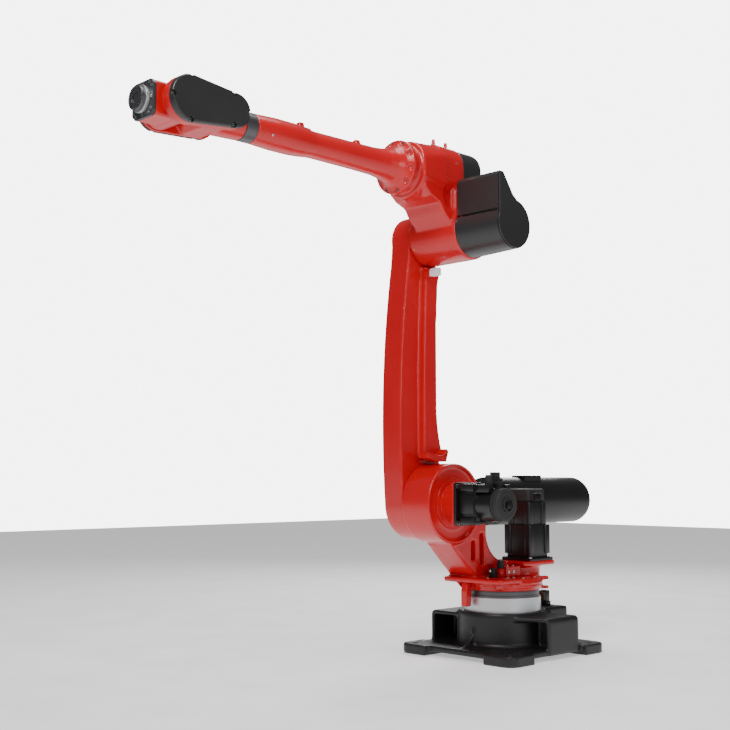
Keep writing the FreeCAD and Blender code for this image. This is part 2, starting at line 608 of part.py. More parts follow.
def build_lower_arm():
    """The upright casting between shoulder and elbow, with a forked heel for the balancer rod."""
    node("arm_casting", solid_feature("arm_casting", arm_shape()))
    x, z, top = size("shoulder_x"), size("shoulder_z"), size("elbow_z")
    outer, cover = size("arm_outer"), size("hub_cover_height")
    node("shoulder_cover", turned("shoulder_cover", [
        ("0", "0"), ("0", "hub_cover_radius"), ("hub_cover_height - 4", "hub_cover_radius"),
        ("hub_cover_height", "hub_cover_radius - 4"), ("hub_cover_height", "0")],
        ("shoulder_x", "arm_outer", "shoulder_z"), RIGHTWARD))
    node("elbow_cover", turned("elbow_cover", [
        ("0", "0"), ("0", "elbow_radius - 28"), ("hub_cover_height - 4", "elbow_radius - 28"),
        ("hub_cover_height", "elbow_radius - 32"), ("hub_cover_height", "0")],
        ("shoulder_x", "arm_outer", "elbow_z"), RIGHTWARD))
    node("rod_pin", cylinder("rod_pin_bar", ("shoulder_x - rod_pin_reach", "arm_outer + 4", "shoulder_z"),
                             "rod_pin", "arm_inner - arm_outer - 8", "Y"))
    block = [(x + 30, top - 162), (x + 58, top - 162), (x + 66, top - 178), (x + 66, top - 202),
             (x + 30, top - 202)]
    bracket = slab(block, size("arm_rib"), size("arm_rib") + size("stop_bracket"))
    node("elbow_stop_bracket", solid_feature("elbow_stop_bracket", bracket))
    bumper = slab(block, size("arm_rib") + size("stop_bracket"),
                  size("arm_rib") + size("stop_bracket") + size("stop_bumper"))
    node("elbow_stop_bumper", solid_feature("elbow_stop_bumper", bumper))
    saddle = slab([(x - 52, z + 262), (x - 34, z + 208), (x + 40, z + 206), (x + 100, z + 226),
                   (x + 100, z + 252), (x + 20, z + 240), (x - 10, z + 240), (x - 38, z + 272)],
                  size("arm_rib"), size("arm_rib") + 60)
    saddle = saddle.cut(Part.makeCylinder(6, 200, Vector(x - 34, size("arm_rib") - 10, z + 242),
                                          Vector(0, 1, 0)))
    node("arm_saddle_bracket", solid_feature("arm_saddle_bracket", saddle))


def arm_shape():
    """Two hubs joined by a column with a bowed front and a waisted back."""
    x, z, top = size("shoulder_x"), size("shoulder_z"), size("elbow_z")
    outer, inner, rib = size("arm_outer"), size("arm_inner"), size("arm_rib")
    hub, head = size("hub_radius"), size("elbow_radius")
    waist = x + size("arm_rear_waist")

    def column(front_low, front_mid, front_top, start, end):
        """A slice of the column: bowed front, waisted back."""
        low_front = Vector(front_low, start, z)
        mid_front = Vector(front_mid, start, z + 510)
        high_front = Vector(front_top, start, top - 130)
        head_front = Vector(min(front_top, x + head - 1) - 3, start, top - 20)
        head_rear = Vector(x - head + 10, start, top)
        rear_high = Vector(waist - 12, start, top - 230)
        rear_turn = Vector(waist - 46, start, top - 110)
        rear_top = Vector(waist, start, top - 440)
        rear_low = Vector(waist, start, z + 470)
        flare = Vector(waist - 38, start, z + 255)
        hub_rear = Vector(x - hub + 14, start, z + 60)
        edges = [
            Part.Arc(low_front, mid_front, high_front).toShape(),
            Part.LineSegment(high_front, head_front).toShape(),
            Part.LineSegment(head_front, head_rear).toShape(),
            Part.Arc(head_rear, rear_turn, rear_high).toShape(),
            Part.LineSegment(rear_high, rear_top).toShape(),
            Part.LineSegment(rear_top, rear_low).toShape(),
            Part.Arc(rear_low, flare, hub_rear).toShape(),
            Part.LineSegment(hub_rear, low_front).toShape()]
        return Part.Face(Part.Wire(edges)).extrude(Vector(0, end - start, 0))

    web = column(x + hub, x + size("arm_front_bulge"), x + size("arm_front_top"), outer, inner)
    raised = column(x + 60, x + size("arm_web_rear"), x + 44, outer + 10, rib)
    keep = Part.makeBox(900, rib - outer + 10, top - z - hub - head - 54,
                        Vector(x - 450, outer, z + hub + 42))
    raised = raised.common(keep)
    hubs = [Part.makeCylinder(hub, inner - outer, Vector(x, outer, z), Vector(0, 1, 0)),
            Part.makeCylinder(head, inner - outer, Vector(x, outer, top), Vector(0, 1, 0))]
    body = web.fuse(hubs).removeSplitter()
    body = soften(body, size("arm_edge_round"), outer)
    body = body.fuse(raised).removeSplitter()
    gap = size("clevis_gap") / 2
    fork = Part.makeBox(hub, 2 * gap, 2 * hub + 40, Vector(x - hub - 70, size("balancer_y") - gap, z - hub - 20))
    pin = Part.makeCylinder(size("rod_pin"), inner - outer - 8,
                            Vector(x - size("rod_pin_reach"), outer + 4, z), Vector(0, 1, 0))
    return body.cut(fork).cut(pin)


def soften(body, radius, y):
    """Round the outer rim of a casting where it meets one face; straight hub seams are left."""
    rim = [edge for edge in body.Edges
           if abs(edge.BoundBox.YMin - y) < 0.01 and abs(edge.BoundBox.YMax - y) < 0.01]
    return body.makeFillet(radius, rim)


# ---------------------------------------------------------------- elbow and forearm

def build_elbow():
    """Elbow casting: drum on the elbow axis, rounded housing on the forearm axis, neck between."""
    x, low, high = size("shoulder_x"), size("elbow_z"), size("forearm_z")
    drum = cylinder("elbow_drum", ("shoulder_x", "arm_inner + running_gap", "elbow_z"), "elbow_drum_radius",
                    "elbow_drum_end - arm_inner - running_gap", "Y")
    housing = box("housing_block", ("housing_rear", "-housing_half", "forearm_z - housing_radius"),
                  "collar_start + 30 - housing_rear", "2 * housing_half", "2 * housing_radius")
    housing = rounded("housing_round", housing, size("housing_corner"),
                      lambda edge: along(edge, Vector(1, 0, 0)))
    collar = common("collar", cone("collar_cone", ("collar_start", "0", "forearm_z"), "collar_radius + 8",
                                   "collar_radius - 6", "housing_front - collar_start", "X"),
                    box("collar_box", ("collar_start", "-housing_half - 4", "forearm_z - 200"),
                        "housing_front - collar_start", "2 * housing_half + 8", "400"))
    neck = solid_feature("elbow_neck", slab(
        [(x - size("elbow_radius") + 8, low + 20), (x + size("elbow_drum_radius") - 4, low + 12),
         (x + 203, low + 78), (x + 226, low + 116), (x + 290, low + 140), (x + 334, high - 100),
         (x + 334, high), (size("housing_rear"), high), (size("housing_rear"), high - 148),
         (x - size("elbow_radius") + 8, high - 190)], -size("neck_half"), size("neck_half")))
    spigot = cylinder("housing_spigot", ("housing_front - 30", "0", "forearm_z"), "spigot_radius",
                      "bell_x - housing_front + 30", "X")
    bosses = [cylinder("lifting_boss_%d" % number, (at, "30", "forearm_z + housing_radius - 20"), "11", "56")
              for number, at in enumerate(("537", "447"))]
    seat = solid_feature("cover_seat", pear_shape(size("cover_seat"), size("elbow_drum_end"),
                                                  size("cover_seat_inset")))
    node("elbow_casting", fuse("elbow_casting", drum, housing, collar, neck, spigot, seat, *bosses))


def build_motor_cover():
    """Pear-shaped cover over the elbow motors and its thin end plate."""
    start, end = size("elbow_drum_end"), size("cover_end") - size("cover_plate")
    node("elbow_motor_cover", solid_feature("elbow_motor_cover", pear_shape(start, end, 0)))
    node("elbow_motor_cover_plate", solid_feature("elbow_motor_cover_plate",
                                                  pear_shape(end, size("cover_end"), 3)))


def pear_shape(start, end, inset):
    """A tapering belly on the elbow axis with a square-cornered lobe rising towards the forearm."""
    x, low = size("shoulder_x"), size("elbow_z")
    if inset:
        belly = Part.makeCylinder(size("cover_radius") - inset, end - start, Vector(x, start, low), Vector(0, 1, 0))
    else:
        belly = Part.makeCone(size("cover_root_radius"), size("cover_radius"), end - start, Vector(x, start, low),
                              Vector(0, 1, 0))
    lobe = slab([(x - 88 + inset, low + 66), (x + 8 + inset, low + 142), (x + 78 + inset, low + 244 - inset),
                 (x + 100, low + 245 - inset), (x + 113 - inset, low + 227 - inset), (x + 113 - inset, low + 38)],
                start, end)
    return belly.fuse(lobe).removeSplitter()


def build_rear_cap():
    """The dark cap behind the forearm housing."""
    cap = box("rear_cap_block", ("rear_cap_x", "-housing_half + rear_cap_inset",
                                 "forearm_z - housing_radius + rear_cap_inset"),
              "housing_rear - rear_cap_x", "2 * (housing_half - rear_cap_inset)",
              "2 * (housing_radius - rear_cap_inset)")
    cap = rounded("rear_cap_corners", cap, size("housing_corner") - size("rear_cap_inset"),
                  lambda edge: along(edge, Vector(1, 0, 0)))
    cap = rounded("rear_cap_round_edge", cap, 40, lambda edge:
                  edge.BoundBox.XMax < size("rear_cap_x") + 1)
    drum_space = cylinder("drum_space", ("shoulder_x", "-housing_half", "elbow_z"),
                          "elbow_drum_radius + 2", "2 * housing_half", "Y")
    seat_space = solid_feature("seat_space", pear_shape(size("cover_seat") - 1, size("elbow_drum_end"),
                                                        size("cover_seat_inset") - 1))
    node("forearm_motor_cover", cut("forearm_motor_cover", cap, drum_space, seat_space))


def build_forearm():
    """The long tube with its bolted bell, and the dark band before the wrist."""
    tube = turned("forearm_turned", [
        ("bell_x", "tube_radius - tube_wall"), ("bell_x", "bell_radius"),
        ("bell_x + bell_flange", "bell_radius"), ("bell_x + bell_flange + 8", "bell_radius - 16"),
        ("bell_x + 44", "bell_radius - 33"), ("bell_x + 74", "bell_radius - 48"),
        ("bell_x + 120", "bell_radius - 60"), ("tube_start - 16", "tube_radius + 1"),
        ("tube_start + 120", "tube_radius - 2"), ("front_section - 60", "tube_radius - 4"),
        ("front_section", "front_section_radius - 4"), ("front_section + 60", "front_section_radius"),
        ("tube_end - 120", "front_section_radius"), ("tube_end", "front_section_radius - 6"),
        ("tube_end", "tube_radius - tube_wall")], ("0", "0", "forearm_z"), FORWARD)
    node("forearm_tube", tube)
    node("wrist_band", turned("wrist_band", [
        ("tube_end + running_gap", "tube_radius - tube_wall"), ("tube_end + running_gap", "band_radius"),
        ("band_end", "band_radius"), ("band_end", "tube_radius - tube_wall")],
        ("0", "0", "forearm_z"), FORWARD))


# ---------------------------------------------------------------- wrist

def build_wrist():
    """Yoke with two arms, and the two oval belt covers; the right side is the slimmer one."""
    inner, turn = size("yoke_inner"), (size("wrist_x"), size("forearm_z"))
    rear = (size("belt_rear_x"), size("forearm_z"))
    left = belt_face(turn, size("cover_big"), rear, size("cover_small"), inner)
    right = belt_face(turn, size("cover_big_right"), rear, size("cover_small_right"), -inner)
    arms = [left.extrude(Vector(0, size("yoke_outer") - inner, 0)),
            right.extrude(Vector(0, inner - size("yoke_outer_right"), 0))]
    yoke = yoke_bridge().fuse(arms).removeSplitter()
    node("wrist_yoke", solid_feature("wrist_yoke", yoke))
    for name, big, small, start, end in (
            ("wrist_cover_left", "cover_big", "cover_small", size("yoke_outer"), size("cover_face")),
            ("wrist_cover_right", "cover_big_right", "cover_small_right",
             -size("yoke_outer_right"), -size("cover_face_right"))):
        cover = belt_face(turn, size(big), rear, size(small), start).extrude(Vector(0, end - start, 0))
        rim = [edge for edge in cover.Edges
               if abs(edge.BoundBox.YMin - end) < 0.01 and abs(edge.BoundBox.YMax - end) < 0.01]
        node(name, solid_feature(name, cover.makeFillet(size("cover_rim"), rim)))


def yoke_bridge():
    """The block that joins the yoke's arms, pocketed underneath, with its tapered root."""
    high, half = size("forearm_z"), size("cover_small") - 4
    inner, end, start = size("yoke_inner"), size("yoke_bridge_end"), size("yoke_bridge_start")
    block = slab([(start, high - half), (end - 30, high - half), (end, high - half + 30),
                  (end, high + half - 30), (end - 30, high + half), (start, high + half)],
                 -inner - 2, inner + 2)
    root = Part.makeCone(size("band_radius"), half + 4, start + 20 - size("band_end"),
                         Vector(size("band_end"), 0, high), Vector(1, 0, 0))
    return block.fuse(root)


def build_tilt():
    """The tilting housing between the yoke's arms and its square front plate."""
    high, x = size("forearm_z"), size("wrist_x")
    half = size("yoke_inner") - size("tilt_clearance")
    drum = Part.makeCylinder(size("tilt_radius"), 2 * half, Vector(x, -half, high), Vector(0, 1, 0))
    side = size("front_plate_half") - 3
    block = Part.makeBox(size("front_plate_x") - x, 2 * side, 2 * side, Vector(x, -side, high - side))
    block = block.makeFillet(14, [edge for edge in block.Edges if along(edge, Vector(1, 0, 0))])
    journal = Part.makeCylinder(size("journal_radius"), 2 * size("yoke_inner") - 2 * size("running_gap"),
                                Vector(x, -size("yoke_inner") + size("running_gap"), high), Vector(0, 1, 0))
    node("wrist_tilt_housing", solid_feature("wrist_tilt_housing",
                                             drum.fuse([block, journal]).removeSplitter()))
    edge = size("front_plate_half")
    plate = Part.makeBox(size("front_plate_thickness"), 2 * edge, 2 * edge,
                         Vector(size("front_plate_x"), -edge, high - edge))
    plate = plate.makeChamfer(size("front_chamfer"), [item for item in plate.Edges
                                                      if along(item, Vector(1, 0, 0))])
    node("wrist_front_plate", solid_feature("wrist_front_plate", plate))


def build_flange():
    """The bright ring and the drilled tool flange."""
    start = "front_plate_x + front_plate_thickness"
    node("flange_ring", turned("flange_ring", [
        (start + " + running_gap", "0"), (start + " + running_gap", "flange_neck"),
        ("flange_x - flange_disc", "flange_neck"), ("flange_x - flange_disc", "0")],
        ("0", "0", "forearm_z"), FORWARD))
    disc = turned("flange_disc_blank", [
        ("flange_x - flange_disc", "0"), ("flange_x - flange_disc", "flange_radius"),
        ("flange_x", "flange_radius"), ("flange_x", "tool_bore"),
        ("flange_x - tool_bore_depth", "tool_bore"), ("flange_x - tool_bore_depth", "0")],
        ("0", "0", "forearm_z"), FORWARD)
    holes = []
    for number in range(4):
        angle = math.radians(45 + 90 * number)
        y = "tool_bolt_circle * %.6f" % math.cos(angle)
        z = "forearm_z + tool_bolt_circle * %.6f" % math.sin(angle)
        holes.append(cylinder("tool_hole_%d" % number, ("flange_x - 14", y, z), "tool_bolt", "20", "X"))
    node("tool_flange", cut("tool_flange", disc, *holes))


def build_all():
    """Build every sub-part."""
    build_base()
    build_turning_ring()
    build_base_fittings()
    build_turret()
    build_second_motor()
    build_first_motor()
    build_deck_fittings()
    build_balancer()
    build_lower_arm()
    build_elbow()
    build_motor_cover()
    build_rear_cap()
    build_forearm()
    build_wrist()
    build_tilt()
    build_flange()


def check_and_write():
    """Stop on any failed feature or bad solid, then write one file for each sub-part."""
    doc.recompute()
    for item in doc.Objects:
        if "Invalid" in item.State or "Error" in item.State:
            raise RuntimeError("failed feature: " + item.Name)
    os.makedirs("parts", exist_ok=True)
    for label, feature in NODES:
        shape = feature.Shape
        if shape.isNull() or not shape.isValid() or not shape.Solids:
            raise RuntimeError("bad shape: " + label)
        shape.exportStep("parts/%s.step" % label)
        print("%-26s %8.2f litres, %d solid" % (label, shape.Volume / 1e6, len(shape.Solids)))


fill_sheet()
build_all()
check_and_write()
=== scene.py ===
"""Industrial robot arm: finishes, softened castings, motors, screws, light and camera.

Lengths are millimetres in the part's frame, which `Shape` turns into metres. Lamps and camera are in metres.
"""
import sys
import logging
import math
from dataclasses import dataclass
from enum import Enum
from typing import Optional, Sequence

import bmesh
import bpy
from mathutils import Matrix, Vector


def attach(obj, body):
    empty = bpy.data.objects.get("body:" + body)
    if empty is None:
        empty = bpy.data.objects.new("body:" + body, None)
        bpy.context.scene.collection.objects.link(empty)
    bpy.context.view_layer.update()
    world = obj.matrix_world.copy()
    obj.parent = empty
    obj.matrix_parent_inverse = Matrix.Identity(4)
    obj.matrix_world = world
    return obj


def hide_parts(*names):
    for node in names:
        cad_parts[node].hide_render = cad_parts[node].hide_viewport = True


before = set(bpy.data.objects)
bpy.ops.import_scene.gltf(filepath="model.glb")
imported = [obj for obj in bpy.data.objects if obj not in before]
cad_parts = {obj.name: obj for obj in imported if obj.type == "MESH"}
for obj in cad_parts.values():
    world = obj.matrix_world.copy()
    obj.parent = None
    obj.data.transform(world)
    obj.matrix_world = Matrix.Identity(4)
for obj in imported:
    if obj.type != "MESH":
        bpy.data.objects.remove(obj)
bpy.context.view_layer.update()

MM = 0.001
MERGE = 1e-6
LOG = logging.getLogger("robot_arm")
Point = Sequence[float]
Flat = tuple[float, float]

SHOULDER: Flat = (365.0, 760.0)
ELBOW: Flat = (365.0, 2110.0)
BALANCER_AXIS: Flat = (-246.0, 760.0)
FOREARM_HEIGHT = 2386.0
SMOOTH_ANGLE = 32.0
SIGNS = (-1, 1)


# ---------------- finishes

class Grain(Enum):
    """How a finish is broken up by noise."""

    SMOOTH = "smooth"
    CAST = "cast"
    MOULDED = "moulded"
    TURNED = "turned"


@dataclass(frozen=True)
class Finish:
    """One surface finish.

    Args:
        name: the material's name.
        colour: linear base colour.
        roughness: mean roughness.
        metallic: 0 for paint and plastic, 1 for bare metal.
        coat: weight of a clear coat.
        grain: how noise breaks the surface up.
        slot: the record's material slot; not used.
    """

    name: str
    colour: tuple[float, float, float]
    roughness: float
    metallic: float = 0.0
    coat: float = 0.0
    grain: Grain = Grain.SMOOTH
    slot: str = ""

    def material(self) -> bpy.types.Material:
        """Return the Blender material, made the first time it is asked for."""
        known = bpy.data.materials.get(self.name)
        return known or _MaterialBuilder(self).build()


class _MaterialBuilder:
    """Builds the node tree of one finish."""

    COAT_ROUGHNESS = 0.12
    BUMP_DISTANCE = 0.0006
    BROAD_SCALE = 3.1
    NOISE_RANGE = (0.3, 0.7)
    DULLER, GLOSSIER = 0.05, 0.04
    DARKER, LIGHTER = 0.94, 1.05
    SCALES = {Grain.SMOOTH: 40.0, Grain.CAST: 190.0, Grain.MOULDED: 420.0, Grain.TURNED: 60.0}
    BUMPS = {Grain.SMOOTH: 0.0, Grain.CAST: 0.06, Grain.MOULDED: 0.10, Grain.TURNED: 0.0}

    def __init__(self, finish: Finish) -> None:
        """Start an empty material.

        Args:
            finish: the finish it will show.
        """
        self.finish = finish
        self.material = bpy.data.materials.new(finish.name)
        self.material.use_nodes = True
        self.tree = self.material.node_tree
        self.shader = self.tree.nodes["Principled BSDF"]

    def build(self) -> bpy.types.Material:
        """Build the node tree.

        Returns:
            The finished material.
        """
        finish = self.finish
        self.shader.inputs["Metallic"].default_value = finish.metallic
        self.shader.inputs["Coat Weight"].default_value = finish.coat
        self.shader.inputs["Coat Roughness"].default_value = self.COAT_ROUGHNESS
        broad = self._noise(self.BROAD_SCALE, 2.0)
        fine = self._noise(self.SCALES[finish.grain], 3.0)
        self._link(self._tint(broad), "Base Color")
        low, high = finish.roughness - self.GLOSSIER, finish.roughness + self.DULLER
        self._link(self._range(broad, low, high), "Roughness")
        if self.BUMPS[finish.grain]:
            bump = self.tree.nodes.new("ShaderNodeBump")
            bump.inputs["Strength"].default_value = self.BUMPS[finish.grain]
            bump.inputs["Distance"].default_value = self.BUMP_DISTANCE
            self.tree.links.new(fine, bump.inputs["Height"])
            self._link(bump.outputs["Normal"], "Normal")
        self.material.diffuse_color = (*finish.colour, 1.0)
        return self.material

    def _link(self, output: bpy.types.NodeSocket, name: str) -> None:
        """Link an output to a named input of the shader."""
        self.tree.links.new(output, self.shader.inputs[name])

    def _noise(self, scale: float, detail: float) -> bpy.types.NodeSocket:
        """Add noise over the object's own coordinates.

        Args:
            scale: its scale.
            detail: its detail.
        Returns:
            Its value.
        """
        place = self.tree.nodes.new("ShaderNodeTexCoord")
        noise = self.tree.nodes.new("ShaderNodeTexNoise")
        noise.inputs["Scale"].default_value = scale
        noise.inputs["Detail"].default_value = detail
        self.tree.links.new(place.outputs["Object"], noise.inputs["Vector"])
        return noise.outputs["Fac"]

    def _range(self, value: bpy.types.NodeSocket, low: float, high: float) -> bpy.types.NodeSocket:
        """Spread noise between two numbers.

        Args:
            value: the noise.
            low: the number at its low end.
            high: the number at its high end.
        Returns:
            The spread value.
        """
        spread = self.tree.nodes.new("ShaderNodeMapRange")
        spread.inputs["From Min"].default_value = self.NOISE_RANGE[0]
        spread.inputs["From Max"].default_value = self.NOISE_RANGE[1]
        spread.inputs["To Min"].default_value = low
        spread.inputs["To Max"].default_value = high
        self.tree.links.new(value, spread.inputs["Value"])
        return spread.outputs["Result"]

    def _tint(self, value: bpy.types.NodeSocket) -> bpy.types.NodeSocket:
        """Vary the finish's colour a little.

        Args:
            value: the noise that varies it.
        Returns:
            The colour.
        """
        ramp = self.tree.nodes.new("ShaderNodeValToRGB")
        for element, place, share in zip(ramp.color_ramp.elements, self.NOISE_RANGE,
                                         (self.DARKER, self.LIGHTER)):
            element.position = place
            element.color = (*(min(1.0, channel * share) for channel in self.finish.colour), 1.0)
        self.tree.links.new(value, ramp.inputs["Fac"])
        return ramp.outputs["Color"]


RED = Finish("red_enamel", (0.62, 0.0015, 0.006), 0.30, coat=0.25, slot="red_paint")
BASE_BLACK = Finish("black_casting_paint", (0.0085, 0.0085, 0.009), 0.42,
                    grain=Grain.CAST, slot="black_casting")
BLACK = Finish("satin_black_paint", (0.006, 0.006, 0.0063), 0.34, grain=Grain.CAST, slot="black_paint")
COVER = Finish("moulded_black", (0.024, 0.024, 0.025), 0.32, grain=Grain.MOULDED, slot="black_cover")
PLASTIC = Finish("black_plastic", (0.0045, 0.0045, 0.005), 0.44, grain=Grain.MOULDED, slot="black_plastic")
GREY = Finish("dark_grey_satin", (0.030, 0.032, 0.035), 0.36, slot="grey_paint")
STEEL = Finish("ground_steel", (0.66, 0.67, 0.69), 0.26,
               metallic=1.0, grain=Grain.TURNED, slot="ground_steel")
SCREW = Finish("screw_steel", (0.72, 0.71, 0.68), 0.24, metallic=1.0, slot="ground_steel")
DARK_STEEL = Finish("dark_steel", (0.028, 0.028, 0.030), 0.32, metallic=0.5, slot="dark_steel")
BRASS = Finish("brass", (0.62, 0.44, 0.17), 0.28, metallic=1.0, slot="ground_steel")
RUBBER = Finish("brown_rubber", (0.12, 0.06, 0.035), 0.62, grain=Grain.MOULDED, slot="rubber")
WHITE = Finish("white_plastic", (0.82, 0.83, 0.85), 0.40, slot="white_plastic")


# ---------------- shapes

class Axis(Enum):
    """An axis of the row frame, with the two directions that a drawing across it is made in."""

    X = ((1, 0, 0), (0, 1, 0), (0, 0, 1))
    Y = ((0, 1, 0), (1, 0, 0), (0, 0, 1))
    Z = ((0, 0, 1), (1, 0, 0), (0, 1, 0))

    def place(self, across: float, up: float, along: float) -> Vector:
        """Place a point by its drawing.

        Args:
            across: distance along the drawing's first direction.
            up: distance along its second.
            along: distance along the axis.
        Returns:
            The point.
        """
        direction, first, second = (Vector(item) for item in self.value)
        return first * across + second * up + direction * along


class Shape:
    """A mesh put together from plain solids, each with its own finish."""

    SHARP = math.radians(35)

    def __init__(self) -> None:
        """Start an empty shape."""
        self.mesh = bmesh.new()
        self.finishes: list[Finish] = []

    def _take(self, piece: bmesh.types.BMesh, finish: Finish, soften: float) -> "Shape":
        """Add a closed solid to this mesh.

        Args:
            piece: the solid, in millimetres.
            finish: its finish.
            soften: radius on its sharp edges.
        Returns:
            This shape.
        """
        bmesh.ops.remove_doubles(piece, verts=piece.verts, dist=1e-4)
        bmesh.ops.recalc_face_normals(piece, faces=piece.faces)
        if soften:
            sharp = [edge for edge in piece.edges
                     if len(edge.link_faces) == 2 and edge.calc_face_angle(0.0) > self.SHARP]
            bmesh.ops.bevel(piece, geom=sharp, offset=soften, segments=2, profile=0.5,
                            affect="EDGES", clamp_overlap=True)
        bmesh.ops.scale(piece, vec=(MM, MM, MM), verts=piece.verts)
        if finish not in self.finishes:
            self.finishes.append(finish)
        for face in piece.faces:
            face.material_index = self.finishes.index(finish)
        store = bpy.data.meshes.new("piece")
        piece.to_mesh(store)
        piece.free()
        self.mesh.from_mesh(store)
        bpy.data.meshes.remove(store)
        return self

    def turned(self, finish: Finish, axis: Axis, centre: Flat, profile: Sequence[Flat], sides: int = 48,
               soften: float = 0.0) -> "Shape":
        """Add a body of revolution.

        Args:
            finish: its finish.
            axis: the direction of its axis.
            centre: where the axis stands, in the drawing across it.
            profile: (distance along the axis, radius), in order.
            sides: how many flats the round has.
            soften: radius on the sharp edges.
        Returns:
            This shape.
        """
        piece = bmesh.new()
        rings = []
        for along, radius in profile:
            ring = []
            for step in range(sides if radius > 0 else 1):
                across, up = _on_circle(centre, radius, math.tau * step / sides)
                ring.append(piece.verts.new(axis.place(across, up, along)))
            rings.append(ring)
        pairs = list(zip(rings, rings[1:]))
        if profile[0][1] > 0 or profile[-1][1] > 0:
            pairs.append((rings[-1], rings[0]))
        for first, second in pairs:
            for step in range(sides):
                corners = [first[step % len(first)], first[(step + 1) % len(first)],
                           second[(step + 1) % len(second)], second[step % len(second)]]
                unique = list(dict.fromkeys(corners))
                if len(unique) > 2:
                    piece.faces.new(unique)
        return self._take(piece, finish, soften)

    def rod(self, finish: Finish, axis: Axis, centre: Flat, radius: float, low: float, high: float,
            sides: int = 32, soften: float = 0.0) -> "Shape":
        """Add a round bar.

        Args:
            finish: its finish.
            axis: the direction of its axis.
            centre: where the axis stands, in the drawing across it.
            radius: its radius.
            low: where it starts along the axis.
            high: where it ends.
            sides: how many flats the round has.
            soften: radius on the sharp edges.
        Returns:
            This shape.
        """
        profile = ((low, 0.0), (low, radius), (high, radius), (high, 0.0))
        return self.turned(finish, axis, centre, profile, sides, soften)

    def prism(self, finish: Finish, axis: Axis, outline: Sequence[Flat], low: float, high: float,
              soften: float = 0.0) -> "Shape":
        """Add a drawing across an axis, drawn out along it.

        Args:
            finish: its finish.
            axis: the axis.
            outline: the drawing's corners, in order.
            low: where it starts along the axis.
            high: where it ends.
            soften: radius on the sharp edges.
        Returns:
            This shape.
        """
        piece = bmesh.new()
        near = [piece.verts.new(axis.place(across, up, low)) for across, up in outline]
        far = [piece.verts.new(axis.place(across, up, high)) for across, up in outline]
        piece.faces.new(near)
        piece.faces.new(far)
        for step in range(len(outline)):
            following = (step + 1) % len(outline)
            piece.faces.new((near[step], near[following], far[following], far[step]))
        return self._take(piece, finish, soften)

    def block(self, finish: Finish, low: Point, high: Point, soften: float = 2.0, corner: float = 0.0,
              along: Axis = Axis.Z) -> "Shape":
        """Add a block between two corners.

        Args:
            finish: its finish.
            low: its lowest corner.
            high: its highest corner.
            soften: radius on every sharp edge.
            corner: a larger radius on the four edges along one axis.
            along: that axis.
        Returns:
            This shape.
        """
        direction, first, second = (Vector(item) for item in along.value)
        start, end = Vector(low), Vector(high)
        outline = _rounded_outline(start.dot(first), start.dot(second), end.dot(first), end.dot(second),
                                   corner)
        return self.prism(finish, along, outline, start.dot(direction), end.dot(direction), soften)

    def object(self, name: str) -> bpy.types.Object:
        """Make the shape an object at the origin, with outward normals.

        Args:
            name: the object's name.
        Returns:
            The object.
        """
        bmesh.ops.remove_doubles(self.mesh, verts=self.mesh.verts, dist=MERGE)
        bmesh.ops.recalc_face_normals(self.mesh, faces=self.mesh.faces)
        data = bpy.data.meshes.new(name)
        self.mesh.to_mesh(data)
        self.mesh.free()
        for finish in self.finishes:
            data.materials.append(finish.material())
        return _new_object(name, data, SMOOTH_ANGLE)


def _on_circle(centre: Flat, radius: float, angle: float) -> Flat:
    """Return the point on a circle at an angle in radians."""
    return centre[0] + radius * math.cos(angle), centre[1] + radius * math.sin(angle)


def _rounded_outline(x0: float, y0: float, x1: float, y1: float, radius: float) -> list[Flat]:
    """Draw a rectangle with rounded corners.

    Args:
        x0: its left side.
        y0: its bottom.
        x1: its right side.
        y1: its top.
        radius: radius of its corners, or 0.
    Returns:
        Its outline.
    """
    if not radius:
        return [(x0, y0), (x1, y0), (x1, y1), (x0, y1)]
    outline = []
    left, bottom, right, top = x0 + radius, y0 + radius, x1 - radius, y1 - radius
    corners = (right, bottom), (right, top), (left, top), (left, bottom)
    for centre, start in zip(corners, (-90, 0, 90, 180)):
        for step in range(7):
            outline.append(_on_circle(centre, radius, math.radians(start + 15 * step)))
    return outline


def _new_object(name: str, data: bpy.types.Mesh, smooth_angle: Optional[float]) -> bpy.types.Object:
    """Link a new object that shows a mesh.

    Args:
        name: the object's name.
        data: the mesh.
        smooth_angle: the angle in degrees past which an edge is sharp, or None for none.
    Returns:
        The object.
    """
    data.shade_smooth()
    if smooth_angle is not None:
        data.set_sharp_from_angle(angle=math.radians(smooth_angle))
    made = bpy.data.objects.new(name, data)
    bpy.context.scene.collection.objects.link(made)
    return made


def _settled(source: bpy.types.Object) -> bpy.types.Mesh:
    """Take the mesh that an object's modifiers give, and remove the object.

    Args:
        source: the object.
    Returns:
        The mesh.
    """
    bpy.context.view_layer.update()
    graph = bpy.context.evaluated_depsgraph_get()
    data = bpy.data.meshes.new_from_object(source.evaluated_get(graph), preserve_all_data_layers=True,
                                           depsgraph=graph)
    bpy.data.objects.remove(source)
    return data


def _node_copy(node: str) -> bpy.types.Object:
    """Copy a CAD node and merge the copy's corners; the node itself is left alone.

    Args:
        node: the node's name.
    Returns:
        The copy.
    """
    solid = bmesh.new()
    solid.from_mesh(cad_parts[node].data)
    bmesh.ops.remove_doubles(solid, verts=solid.verts, dist=MERGE)
    bmesh.ops.recalc_face_normals(solid, faces=solid.faces)
    data = bpy.data.meshes.new(node + "_copy")
    solid.to_mesh(data)
    solid.free()
    return _new_object(node + "_copy", data, None)


def _without(body: bpy.types.Object, pockets: Shape) -> bpy.types.Object:
    """Take a shape away from a body.

    Args:
        body: the body, which is used up.
        pockets: what is taken away.
    Returns:
        What is left.
    """
    tool = pockets.object("pockets")
    cut = body.modifiers.new("pockets", "BOOLEAN")
    cut.operation = "DIFFERENCE"
    cut.object = tool
    cut.solver = "EXACT"
    data = _settled(body)
    bpy.data.objects.remove(tool)
    return _new_object("cut_casting", data, None)


